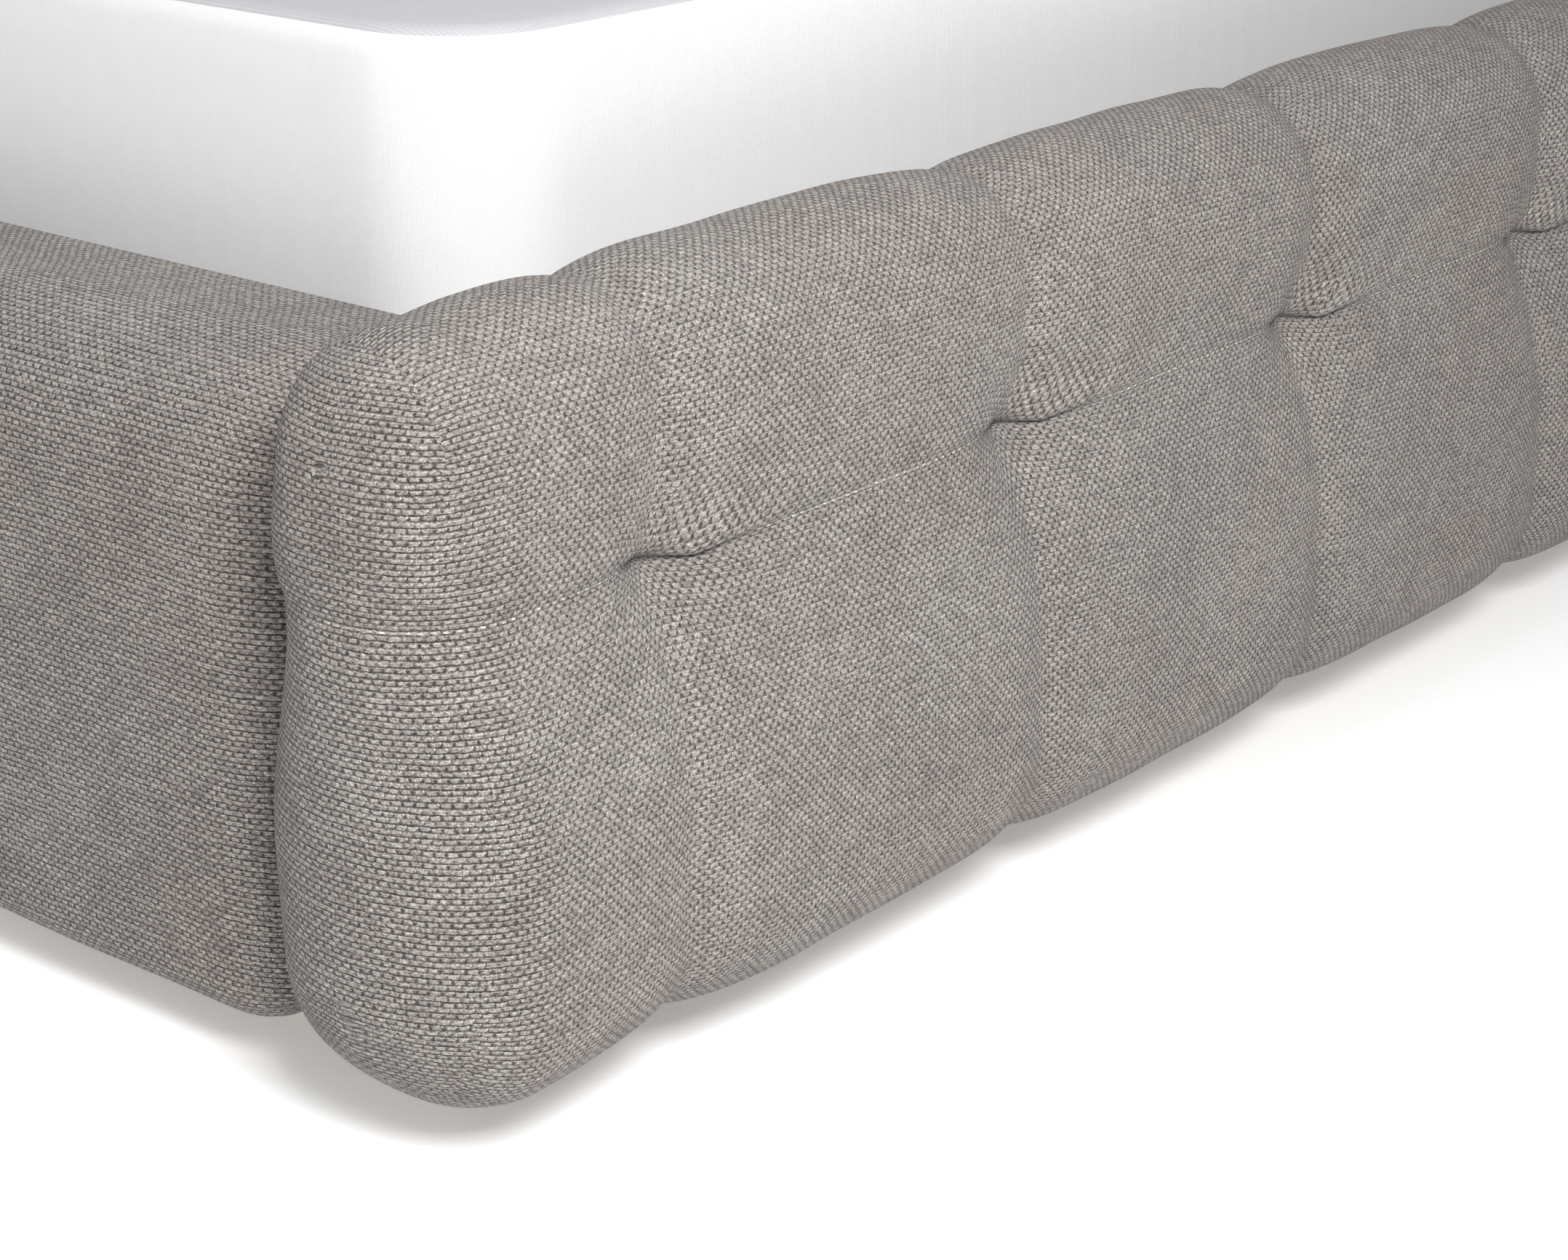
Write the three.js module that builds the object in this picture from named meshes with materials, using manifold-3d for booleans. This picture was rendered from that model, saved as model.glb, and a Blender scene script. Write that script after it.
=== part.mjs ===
// Queen sleigh bed: a low padded footboard, padded side rails, a headboard that sweeps back,
// a slatted base on a centre beam, and the mattress that lies in it.
// Millimetres. +X to the right seen from the foot, +Y towards the head, +Z up.
// The origin is on the floor under the middle of the whole bed.
import * as THREE from 'three';
import { mergeVertices } from 'three/addons/utils/BufferGeometryUtils.js';
import Module from 'manifold-3d';

const wasm = await Module();
wasm.setup();

// ---- Driving sizes -------------------------------------------------------------------------

const MATTRESS_WIDTH = 1524;
const MATTRESS_LENGTH = 2032;
const MATTRESS_HEIGHT = 250;
const MATTRESS_CORNER = 62;
const MATTRESS_EDGE = 12;

const MATTRESS_GAP = 3; // between the mattress and the padding around it
const TOUCH = 0.3; // between two pieces that rest on or against each other

const GLIDE_HEIGHT = 22;
const SLAT_TOP = 205;
const RAIL_TOP = 345;
const FOOTBOARD_TOP = 372;
const HEADBOARD_TOP = 1180;

const RAIL_THICKNESS = 130;
const RAIL_OUTER_FOAM = 72;
const RAIL_TOP_FOAM = 35;
const RAIL_INSET = 25; // how far the rails stand in from the footboard's ends
const RAIL_FLAP_ABOVE_SLATS = 10;
const BOARD_THICKNESS = 30;

const FOOTBOARD_THICKNESS = 146;
const FOOTBOARD_FRONT_FOAM = 65;
const FOOTBOARD_TOP_FOAM = 45;
const FOOTBOARD_TOP_ROUND = 66;
const FOOTBOARD_BASE_ROUND = 42;
const FOOTBOARD_END_ROUND = 44;

const HEADBOARD_THICKNESS = 130;
const HEADBOARD_FRONT_FOAM = 60;
const HEADBOARD_BEND_START = 520; // straight below this height
const HEADBOARD_BEND_RADIUS = 1300; // of the front face, centred behind the headboard

const FRAME_DEPTH = 45; // timber frame inside the headboard and the footboard
const END_FOAM = 70; // padding beyond the timber frames' ends
const POST_WIDTH = 110;
const CROSSBAR_HEIGHT = 80;
const PLYWOOD = 6;
const DUST_COVER = 1.5;

const LEDGER_WIDTH = 40;
const LEDGER_HEIGHT = 35;
const SLAT_COUNT = 11;
const SLAT_WIDTH = 100;
const SLAT_THICKNESS = 20;
const SLAT_END_CLEARANCE = 4;
const FIRST_SLAT_MARGIN = 30;
const STRAP_WIDTH = 40;
const STRAP_THICKNESS = 1.5;
const STRAP_FROM_SLAT_END = 180;

const BEAM_WIDTH = 60;
const BEAM_HEIGHT = 90;
const LEG_COUNT = 3;
const LEG_WIDTH = 48;
const STEEL = 3;
const HANGER_WIDTH = 100;
const HANGER_REACH = 40;
const HANGER_LIP = 10; // of its back plate, below the beam

const FOOT_PAD_RADIUS = 20;
const FOOT_PAD_HEIGHT = 8;
const FOOT_STEM_RADIUS = 5;
const FOOT_TRAVEL = 15; // how far a levelling foot screws out
const FOOT_STEM_HELD = 30; // what stays in the leg at full travel
const STEM_CLEARANCE = 0.5;

const BRACKET_STEEL = 4;
const BRACKET_HEIGHT = 80;
const BRACKET_REACH = 62;
const BRACKET_BASE = 62; // height of its lower edge above the floor
const BOLT_RADIUS = 6;
const BOLT_HEAD_RADIUS = 10;
const BOLT_HEAD_HEIGHT = 7;
const BOLT_CLEARANCE = 0.3;
const BOLT_FROM_CORNER = 34; // from the rail board's face
const BOLT_SHORT_OF_POST = 6; // from the shank's end to the post's far face

const GLIDE_RADIUS = 22;

// ---- Places worked out from them -------------------------------------------------------------

const railInner = MATTRESS_WIDTH / 2 + MATTRESS_GAP;
const railOuter = railInner + RAIL_THICKNESS;
const halfWidth = railOuter + RAIL_INSET;
const frameHalfWidth = halfWidth - END_FOAM;
const postMiddle = frameHalfWidth - POST_WIDTH / 2;
const base = GLIDE_HEIGHT;

// The headboard's front face bends back round a centre behind it. The middle of its rounded top
// edge lies on the arc half way through its thickness.
const headMiddleRadius = HEADBOARD_BEND_RADIUS - HEADBOARD_THICKNESS / 2;
const headTopCentre = HEADBOARD_TOP - HEADBOARD_THICKNESS / 2;
const bendAngle = Math.asin((headTopCentre - HEADBOARD_BEND_START) / headMiddleRadius);
const headDepth =
  HEADBOARD_BEND_RADIUS - headMiddleRadius * Math.cos(bendAngle) + HEADBOARD_THICKNESS / 2;

const wellLength = MATTRESS_LENGTH + 2 * MATTRESS_GAP;
const footFront = -(FOOTBOARD_THICKNESS + wellLength + headDepth) / 2;
const footBack = footFront + FOOTBOARD_THICKNESS;
const headFront = footBack + wellLength;
const wellMiddle = (footBack + headFront) / 2;

const footFrameFront = footFront + FOOTBOARD_FRONT_FOAM;
const footFrameBack = footFrameFront + FRAME_DEPTH;
const footFrameTop = FOOTBOARD_TOP - FOOTBOARD_TOP_FOAM;
const headFrameDepth = HEADBOARD_FRONT_FOAM + PLYWOOD + TOUCH;
const headFrameBack = headFrameDepth + FRAME_DEPTH - PLYWOOD;
const frameBase = base + DUST_COVER + TOUCH;

const boardOuter = railOuter - RAIL_OUTER_FOAM;
const boardInner = boardOuter - BOARD_THICKNESS;
const boardTop = RAIL_TOP - RAIL_TOP_FOAM;
const railFront = footBack + TOUCH;
const railBack = headFront - TOUCH;
const slatBase = SLAT_TOP - SLAT_THICKNESS;
const ledgerTop = slatBase - TOUCH;
const beamTop = slatBase - STRAP_THICKNESS - TOUCH;
const beamBase = beamTop - BEAM_HEIGHT;
const stemTop = FOOT_PAD_HEIGHT + FOOT_TRAVEL + FOOT_STEM_HELD;
const bracketHalf = boardInner - TOUCH;
const boltX = bracketHalf - BOLT_FROM_CORNER;
const boltZ = BRACKET_BASE + BRACKET_HEIGHT / 2;

// ---- Materials ---------------------------------------------------------------------------------

const chenille = new THREE.MeshStandardMaterial({ color: 0x9c948c, roughness: 0.95, metalness: 0 });
const ticking = new THREE.MeshStandardMaterial({ color: 0xe9e9ea, roughness: 0.9, metalness: 0 });
const cambric = new THREE.MeshStandardMaterial({ color: 0x1d1d1f, roughness: 1, metalness: 0 });
const webbing = new THREE.MeshStandardMaterial({ color: 0xd8d3c6, roughness: 0.9, metalness: 0 });
const pine = new THREE.MeshStandardMaterial({ color: 0xcaa878, roughness: 0.7, metalness: 0 });
const plywood = new THREE.MeshStandardMaterial({ color: 0xb98f61, roughness: 0.75, metalness: 0 });
const blackSteel = new THREE.MeshStandardMaterial({ color: 0x26272a, roughness: 0.5, metalness: 0.8 });
const zincSteel = new THREE.MeshStandardMaterial({ color: 0xb9bcc0, roughness: 0.35, metalness: 1 });
const blackPlastic = new THREE.MeshStandardMaterial({ color: 0x1b1b1c, roughness: 0.6, metalness: 0 });

// ---- Geometry helpers ----------------------------------------------------------------------------

const bed = new THREE.Group();

function add(name, geometry, material) {
  const mesh = new THREE.Mesh(geometry, material);
  mesh.name = name;
  bed.add(mesh);
}

function box(low, high) {
  const size = high.map((value, axis) => value - low[axis]);
  const middle = high.map((value, axis) => (value + low[axis]) / 2);
  return new THREE.BoxGeometry(...size).translate(...middle);
}

// A closed outline with its corners rounded. Each point is [across, up, radius].
function outline(points) {
  const shape = new THREE.Shape();
  const count = points.length;
  const towards = (from, to, distance) => {
    const length = Math.hypot(to[0] - from[0], to[1] - from[1]);
    const part = Math.min(distance / length, 0.5);
    return [from[0] + (to[0] - from[0]) * part, from[1] + (to[1] - from[1]) * part];
  };
  points.forEach((corner, index) => {
    const before = points[(index + count - 1) % count];
    const after = points[(index + 1) % count];
    const radius = corner[2] ?? 0;
    const start = towards(corner, before, radius);
    const end = towards(corner, after, radius);
    if (index === 0) {
      shape.moveTo(...start);
    } else {
      shape.lineTo(...start);
    }
    if (radius > 0) {
      shape.quadraticCurveTo(corner[0], corner[1], ...end);
    }
  });
  shape.closePath();
  return shape;
}

function extrude(shape, depth) {
  return new THREE.ExtrudeGeometry(shape, { depth, bevelEnabled: false, steps: 1, curveSegments: 8 });
}

// The outline's points are [y, z].
function extrudeAlongX(shape, from, to) {
  const turn = new THREE.Matrix4().makeBasis(
    new THREE.Vector3(0, 1, 0),
    new THREE.Vector3(0, 0, 1),
    new THREE.Vector3(1, 0, 0),
  );
  return extrude(shape, to - from).applyMatrix4(turn).translate(from, 0, 0);
}

// The outline's points are [x, z].
function extrudeAlongY(shape, from, to) {
  return extrude(shape, to - from).rotateX(Math.PI / 2).translate(0, to, 0);
}

// The outline's points are [x, y].
function extrudeAlongZ(shape, from, to) {
  return extrude(shape, to - from).translate(0, 0, from);
}

// A turned piece, standing on the floor plane. Its profile is [radius, height], from axis to axis.
function turned(profile) {
  const points = profile.map(([radius, height]) => new THREE.Vector2(radius, height));
  return new THREE.LatheGeometry(points, 24).rotateX(Math.PI / 2);
}

function toSolid(geometry) {
  const plain = geometry.clone();
  plain.deleteAttribute('normal');
  plain.deleteAttribute('uv');
  const merged = mergeVertices(plain, 1e-3);
  const vertProperties = new Float32Array(merged.attributes.position.array);
  const triVerts = new Uint32Array(merged.index.array);
  return new wasm.Manifold(new wasm.Mesh({ numProp: 3, vertProperties, triVerts }));
}

function toGeometry(solid) {
  const mesh = solid.getMesh();
  const geometry = new THREE.BufferGeometry();
  geometry.setAttribute('position', new THREE.BufferAttribute(new Float32Array(mesh.vertProperties), 3));
  geometry.setIndex(new THREE.BufferAttribute(new Uint32Array(mesh.triVerts), 1));
  const faceted = geometry.toNonIndexed();
  faceted.computeVertexNormals();
  return faceted;
}

function cut(geometry, cutters) {
  return toGeometry(cutters.reduce((left, cutter) => left.subtract(toSolid(cutter)), toSolid(geometry)));
}

function common(first, second) {
  return toGeometry(toSolid(first).intersect(toSolid(second)));
}

const sides = [['left', -1], ['right', 1]];

// ---- Corner bolts, and the holes that they leave ---------------------------------------------------

function boltHole(side, from, to) {
  const radius = BOLT_RADIUS + BOLT_CLEARANCE;
  const hole = turned([[0, from], [radius, from], [radius, to], [0, to]]);
  return hole.rotateX(-Math.PI / 2).translate(side * boltX, 0, boltZ);
}

// The bolt's head is on the bracket, and its shank runs through the padding into the post.
function bolt(side, bracketFace, shankEnd) {
  const outward = Math.sign(bracketFace - shankEnd);
  const seat = bracketFace + outward * TOUCH;
  const top = seat + outward * BOLT_HEAD_HEIGHT;
  const profile = [[0, shankEnd], [BOLT_RADIUS, shankEnd], [BOLT_RADIUS, seat]];
  profile.push([BOLT_HEAD_RADIUS, seat], [BOLT_HEAD_RADIUS, top], [0, top]);
  const ordered = outward > 0 ? profile : profile.reverse();
  return turned(ordered).rotateX(-Math.PI / 2).translate(side * boltX, 0, boltZ);
}

// ---- Footboard -----------------------------------------------------------------------------------

function buildFootboard() {
  const holes = sides.map(([, side]) => boltHole(side, footFrameFront - TOUCH, footBack + 1));
  const section = outline([
    [footFront, base, FOOTBOARD_BASE_ROUND],
    [footBack, base, FOOTBOARD_BASE_ROUND],
    [footBack, FOOTBOARD_TOP, FOOTBOARD_TOP_ROUND],
    [footFront, FOOTBOARD_TOP, FOOTBOARD_TOP_ROUND],
  ]);
  const plan = outline([
    [-halfWidth, footFront, FOOTBOARD_END_ROUND],
    [halfWidth, footFront, FOOTBOARD_END_ROUND],
    [halfWidth, footBack, FOOTBOARD_END_ROUND],
    [-halfWidth, footBack, FOOTBOARD_END_ROUND],
  ]);
  const outside = common(
    extrudeAlongX(section, -halfWidth, halfWidth),
    extrudeAlongZ(plan, base - 1, FOOTBOARD_TOP + 1),
  );
  const pocket = box(
    [-frameHalfWidth - TOUCH, footFrameFront - TOUCH, base - 1],
    [frameHalfWidth + TOUCH, footFrameBack + TOUCH, footFrameTop + TOUCH],
  );
  add('footboard_pad', cut(outside, [pocket, ...holes]), chenille);

  for (const [name, side] of sides) {
    const post = box(
      [side * postMiddle - POST_WIDTH / 2, footFrameFront, frameBase],
      [side * postMiddle + POST_WIDTH / 2, footFrameBack, footFrameTop],
    );
    add(`footboard_post_${name}`, cut(post, holes), pine);
  }

  const reach = frameHalfWidth - POST_WIDTH - TOUCH;
  const bars = [['lower', frameBase], ['upper', footFrameTop - CROSSBAR_HEIGHT]];
  for (const [name, low] of bars) {
    const bar = box([-reach, footFrameFront, low], [reach, footFrameBack, low + CROSSBAR_HEIGHT]);
    add(`footboard_crossbar_${name}`, bar, pine);
  }

  const panel = box(
    [-reach, footFrameFront, frameBase + CROSSBAR_HEIGHT + TOUCH],
    [reach, footFrameFront + PLYWOOD, footFrameTop - CROSSBAR_HEIGHT - TOUCH],
  );
  add('footboard_panel', panel, plywood);

  const cover = box(
    [-frameHalfWidth, footFrameFront, base],
    [frameHalfWidth, footFrameBack, base + DUST_COVER],
  );
  add('footboard_dust_cover', cover, cambric);
}

// ---- Headboard -----------------------------------------------------------------------------------

const bendCentre = headFront + HEADBOARD_BEND_RADIUS;
const BEND_FACETS = 10;
const CAP_FACETS = 20;

// The bend is faceted. Every layer has its facets' edges at the same angles, so that layers which
// lie against each other stay parallel.
const facetAngle = bendAngle / BEND_FACETS;

function facetEdge(depth, facet) {
  const radius = HEADBOARD_BEND_RADIUS - depth;
  const angle = facet * facetAngle;
  return [
    bendCentre - radius * Math.cos(angle),
    HEADBOARD_BEND_START + radius * Math.sin(angle),
  ];
}

// A point `depth` behind the front face, at an angle of the bend.
function bendPoint(depth, angle) {
  const facet = Math.floor(angle / facetAngle + 1e-9);
  const part = angle / facetAngle - facet;
  const low = facetEdge(depth, facet);
  const high = facetEdge(depth, facet + 1);
  return low.map((value, axis) => value + (high[axis] - value) * part);
}

function bend(depth, angleFrom, angleTo) {
  const points = [bendPoint(depth, angleFrom)];
  for (let facet = 1; facet < BEND_FACETS; facet += 1) {
    const angle = facet * facetAngle;
    if (angle > angleFrom + 1e-6 && angle < angleTo - 1e-6) {
      points.push(facetEdge(depth, facet));
    }
  }
  points.push(bendPoint(depth, angleTo));
  return points;
}

// A layer of the headboard between two depths, from a low height up to an angle of the bend.
function headLayer(near, far, low, angle) {
  return outline([
    [headFront + near, low],
    ...bend(near, 0, angle),
    ...bend(far, 0, angle).reverse(),
    [headFront + far, low],
  ]);
}

function headboardOutside() {
  const radius = HEADBOARD_THICKNESS / 2;
  const [y, z] = bendPoint(radius, bendAngle);
  const cap = [];
  for (let facet = 1; facet < CAP_FACETS; facet += 1) {
    const turn = bendAngle + (Math.PI * facet) / CAP_FACETS;
    cap.push([y - radius * Math.cos(turn), z + radius * Math.sin(turn)]);
  }
  return outline([
    [headFront, base],
    ...bend(0, 0, bendAngle),
    ...cap,
    ...bend(HEADBOARD_THICKNESS, 0, bendAngle).reverse(),
    [headFront + HEADBOARD_THICKNESS, base],
  ]);
}

function buildHeadboard() {
  const holes = sides.map(([, side]) => boltHole(side, headFront - 1, headFront + headFrameBack + TOUCH));
  const outside = extrudeAlongX(headboardOutside(), -halfWidth, halfWidth);
  const pocket = extrudeAlongX(
    headLayer(HEADBOARD_FRONT_FOAM - TOUCH, HEADBOARD_THICKNESS + 1, base - 1, bendAngle),
    -frameHalfWidth - TOUCH,
    frameHalfWidth + TOUCH,
  );
  add('headboard_pad', cut(outside, [pocket, ...holes]), chenille);

  const clearAngle = TOUCH / HEADBOARD_BEND_RADIUS;
  const frameAngle = bendAngle - 2 * clearAngle;
  const back = extrudeAlongX(
    headLayer(headFrameBack + TOUCH, HEADBOARD_THICKNESS, base, frameAngle),
    -frameHalfWidth,
    frameHalfWidth,
  );
  add('headboard_back', back, chenille);

  const sheet = extrudeAlongX(
    headLayer(HEADBOARD_FRONT_FOAM, HEADBOARD_FRONT_FOAM + PLYWOOD, frameBase, frameAngle),
    -frameHalfWidth,
    frameHalfWidth,
  );
  add('headboard_panel', cut(sheet, holes), plywood);

  for (const [name, side] of sides) {
    const middle = side * postMiddle;
    const post = extrudeAlongX(
      headLayer(headFrameDepth, headFrameBack, frameBase, frameAngle),
      middle - POST_WIDTH / 2,
      middle + POST_WIDTH / 2,
    );
    add(`headboard_post_${name}`, cut(post, holes), pine);
  }

  const reach = frameHalfWidth - POST_WIDTH - TOUCH;
  const near = headFront + headFrameDepth;
  const far = headFront + headFrameBack;
  const straightBars = [['lower', frameBase], ['middle', HEADBOARD_BEND_START - CROSSBAR_HEIGHT]];
  for (const [name, low] of straightBars) {
    const bar = box([-reach, near, low], [reach, far, low + CROSSBAR_HEIGHT]);
    add(`headboard_crossbar_${name}`, bar, pine);
  }
  const upperFrom = frameAngle - CROSSBAR_HEIGHT / HEADBOARD_BEND_RADIUS;
  const upper = outline([
    ...bend(headFrameDepth, upperFrom, frameAngle),
    ...bend(headFrameBack, upperFrom, frameAngle).reverse(),
  ]);
  add('headboard_crossbar_upper', extrudeAlongX(upper, -reach, reach), pine);

  const cover = box(
    [-frameHalfWidth, headFront + HEADBOARD_FRONT_FOAM, base],
    [frameHalfWidth, far, base + DUST_COVER],
  );
  add('headboard_dust_cover', cover, cambric);
}

// ---- Side rails ------------------------------------------------------------------------------------

function buildRail(name, side) {
  const flapBase = SLAT_TOP + RAIL_FLAP_ABOVE_SLATS;
  const padding = outline([
    [side * railOuter, base, 26],
    [side * railOuter, RAIL_TOP, 56],
    [side * railInner, RAIL_TOP, 34],
    [side * railInner, flapBase, 8],
    [side * (boardInner - TOUCH), flapBase],
    [side * (boardInner - TOUCH), boardTop + TOUCH],
    [side * (boardOuter + TOUCH), boardTop + TOUCH],
    [side * (boardOuter + TOUCH), base],
  ]);
  add(`rail_pad_${name}`, extrudeAlongY(padding, railFront, railBack), chenille);

  const low = Math.min(side * boardOuter, side * boardInner);
  const board = box([low, railFront, base], [low + BOARD_THICKNESS, railBack, boardTop]);
  add(`rail_board_${name}`, board, pine);

  const inner = side * (boardInner - TOUCH);
  const ledgerLow = Math.min(inner, inner - side * LEDGER_WIDTH);
  const ledger = box(
    [ledgerLow, railFront + FIRST_SLAT_MARGIN / 2, ledgerTop - LEDGER_HEIGHT],
    [ledgerLow + LEDGER_WIDTH, railBack - FIRST_SLAT_MARGIN / 2, ledgerTop],
  );
  add(`rail_ledger_${name}`, ledger, pine);
}

// An angle of steel in the corner between a rail's board and the headboard or footboard.
function buildCorner(end, name, side, face, inward) {
  const along = (distance) => face + inward * (TOUCH + distance);
  const across = (distance) => side * (bracketHalf - distance);
  const angle = outline([
    [across(0), along(0)],
    [across(BRACKET_REACH), along(0)],
    [across(BRACKET_REACH), along(BRACKET_STEEL)],
    [across(BRACKET_STEEL), along(BRACKET_STEEL)],
    [across(BRACKET_STEEL), along(BRACKET_REACH)],
    [across(0), along(BRACKET_REACH)],
  ]);
  const plate = extrudeAlongZ(angle, BRACKET_BASE, BRACKET_BASE + BRACKET_HEIGHT);
  const clear = along(2 * BRACKET_STEEL);
  const hole = boltHole(side, Math.min(face, clear), Math.max(face, clear));
  add(`corner_bracket_${end}_${name}`, cut(plate, [hole]), blackSteel);
  const postFarFace = end === 'foot' ? footFrameFront : headFront + headFrameBack;
  const shankEnd = postFarFace + inward * BOLT_SHORT_OF_POST;
  add(`corner_bolt_${end}_${name}`, bolt(side, along(BRACKET_STEEL), shankEnd), zincSteel);
}

// ---- Slatted base ----------------------------------------------------------------------------------

function buildSlats() {
  const half = boardInner - SLAT_END_CLEARANCE;
  const first = footBack + FIRST_SLAT_MARGIN;
  const last = headFront - FIRST_SLAT_MARGIN - SLAT_WIDTH;
  for (let index = 0; index < SLAT_COUNT; index += 1) {
    const low = first + ((last - first) * index) / (SLAT_COUNT - 1);
    const slat = box([-half, low, slatBase], [half, low + SLAT_WIDTH, SLAT_TOP]);
    add(`slat_${String(index + 1).padStart(2, '0')}`, slat, pine);
  }
  for (const [name, side] of sides) {
    const middle = side * (half - STRAP_FROM_SLAT_END);
    const strap = box(
      [middle - STRAP_WIDTH / 2, first, slatBase - TOUCH - STRAP_THICKNESS],
      [middle + STRAP_WIDTH / 2, last + SLAT_WIDTH, slatBase - TOUCH],
    );
    add(`slat_strap_${name}`, strap, webbing);
  }
}

function buildHanger(name, face, inward) {
  const seatTop = beamBase - TOUCH;
  const along = (distance) => face + inward * (TOUCH + distance);
  const bracket = outline([
    [along(0), seatTop - HANGER_LIP],
    [along(STEEL), seatTop - HANGER_LIP],
    [along(STEEL), seatTop - STEEL],
    [along(STEEL + HANGER_REACH), seatTop - STEEL],
    [along(STEEL + HANGER_REACH), seatTop],
    [along(STEEL), seatTop],
    [along(STEEL), beamTop],
    [along(0), beamTop],
  ]);
  add(`beam_hanger_${name}`, extrudeAlongX(bracket, -HANGER_WIDTH / 2, HANGER_WIDTH / 2), blackSteel);
}

function buildCentreSupport() {
  const setback = STEEL + 2 * TOUCH;
  const beam = box(
    [-BEAM_WIDTH / 2, footBack + setback, beamBase],
    [BEAM_WIDTH / 2, headFront - setback, beamTop],
  );
  add('centre_beam', beam, pine);
  buildHanger('foot', footBack, 1);
  buildHanger('head', headFront, -1);

  const legBase = FOOT_PAD_HEIGHT + TOUCH;
  for (let index = 0; index < LEG_COUNT; index += 1) {
    const y = wellMiddle + (wellLength * (index - (LEG_COUNT - 1) / 2)) / (LEG_COUNT + 1);
    const leg = box(
      [-LEG_WIDTH / 2, y - LEG_WIDTH / 2, legBase],
      [LEG_WIDTH / 2, y + LEG_WIDTH / 2, beamBase - TOUCH],
    );
    const boreTop = stemTop + STEM_CLEARANCE;
    const boreRadius = FOOT_STEM_RADIUS + STEM_CLEARANCE;
    const bore = turned([[0, 0], [boreRadius, 0], [boreRadius, boreTop], [0, boreTop]]);
    add(`centre_leg_${index + 1}`, cut(leg, [bore.translate(0, y, 0)]), pine);

    const foot = turned([
      [0, 0],
      [FOOT_PAD_RADIUS, 0],
      [FOOT_PAD_RADIUS, FOOT_PAD_HEIGHT],
      [FOOT_STEM_RADIUS, FOOT_PAD_HEIGHT],
      [FOOT_STEM_RADIUS, stemTop],
      [0, stemTop],
    ]);
    add(`levelling_foot_${index + 1}`, foot.translate(0, y, 0), zincSteel);
  }
}

function buildGlides() {
  const footMiddle = (footFrameFront + footFrameBack) / 2;
  const headMiddle = headFront + (headFrameDepth + headFrameBack) / 2;
  const boardMiddle = (boardOuter + boardInner) / 2;
  const places = [
    ['foot', postMiddle, footMiddle],
    ['rail', boardMiddle, wellMiddle],
    ['head', postMiddle, headMiddle],
  ];
  const top = GLIDE_HEIGHT - TOUCH;
  for (const [end, x, y] of places) {
    for (const [name, side] of sides) {
      const glide = turned([[0, 0], [GLIDE_RADIUS, 0], [GLIDE_RADIUS, top], [0, top]]);
      add(`glide_${end}_${name}`, glide.translate(side * x, y, 0), blackPlastic);
    }
  }
}

// ---- Mattress --------------------------------------------------------------------------------------

function buildMattress() {
  const low = footBack + MATTRESS_GAP;
  const high = headFront - MATTRESS_GAP;
  const bottom = SLAT_TOP + TOUCH;
  const half = MATTRESS_WIDTH / 2;
  const plan = outline([
    [-half, low, MATTRESS_CORNER],
    [half, low, MATTRESS_CORNER],
    [half, high, MATTRESS_CORNER],
    [-half, high, MATTRESS_CORNER],
  ]);
  const edge = outline([
    [-half, bottom, MATTRESS_EDGE],
    [half, bottom, MATTRESS_EDGE],
    [half, bottom + MATTRESS_HEIGHT, MATTRESS_EDGE],
    [-half, bottom + MATTRESS_HEIGHT, MATTRESS_EDGE],
  ]);
  const slab = extrudeAlongZ(plan, bottom, bottom + MATTRESS_HEIGHT);
  add('mattress', common(slab, extrudeAlongY(edge, low - 1, high + 1)), ticking);
}

buildFootboard();
buildHeadboard();
for (const [name, side] of sides) {
  buildRail(name, side);
  buildCorner('foot', name, side, footBack, 1);
  buildCorner('head', name, side, headFront, -1);
}
buildSlats();
buildCentreSupport();
buildGlides();
buildMattress();

export default bed;
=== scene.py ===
"""Sleigh bed: the looks. Everything is in metres, in the frame of the CAD model.

+X is to the right seen from the foot, +Y towards the head, +Z up, and the floor is at z = 0.
Upholstery is measured in millimetres inside its own functions, and turned into metres once.
"""

import math

import bmesh
import bpy
import numpy as np
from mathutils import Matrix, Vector


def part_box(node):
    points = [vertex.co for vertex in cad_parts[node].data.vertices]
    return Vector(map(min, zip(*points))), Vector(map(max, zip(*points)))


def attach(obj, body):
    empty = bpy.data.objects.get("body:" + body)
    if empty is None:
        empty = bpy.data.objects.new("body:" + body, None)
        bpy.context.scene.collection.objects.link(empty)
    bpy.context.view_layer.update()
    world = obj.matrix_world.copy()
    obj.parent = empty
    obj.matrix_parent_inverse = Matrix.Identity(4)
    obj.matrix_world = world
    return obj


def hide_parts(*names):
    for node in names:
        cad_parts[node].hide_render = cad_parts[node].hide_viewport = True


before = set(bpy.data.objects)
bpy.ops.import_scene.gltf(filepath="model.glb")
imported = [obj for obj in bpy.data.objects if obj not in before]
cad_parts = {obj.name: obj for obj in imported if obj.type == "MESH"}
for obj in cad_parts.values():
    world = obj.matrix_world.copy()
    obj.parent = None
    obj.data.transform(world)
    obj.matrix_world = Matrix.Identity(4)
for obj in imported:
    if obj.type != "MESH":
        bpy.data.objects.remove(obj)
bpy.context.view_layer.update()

MM = 0.001

# ---- Sizes shared by the pieces ----

TUFT_SPACING = 260.0
TUFT_COLUMNS = 7
FOLD_COLUMNS = [TUFT_SPACING * (k - (TUFT_COLUMNS - 1) / 2) for k in range(TUFT_COLUMNS)]
TUFT_HEIGHT = 252.0  # of the footboard's one row, above the floor
TUFT_BEHIND_FRONT = 24.0  # from the footboard pad's CAD front to the plane of its tufts
TUFT_DEPTH = 25.0
CREASE_DEPTH = 9.5  # of the level folds that join the tufts, away from them
VALLEY_WIDTH = 19.0  # of the upright folds
FOLD_BLEND = 2.4  # how folds that meet add up: more leaves only the deepest

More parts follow.
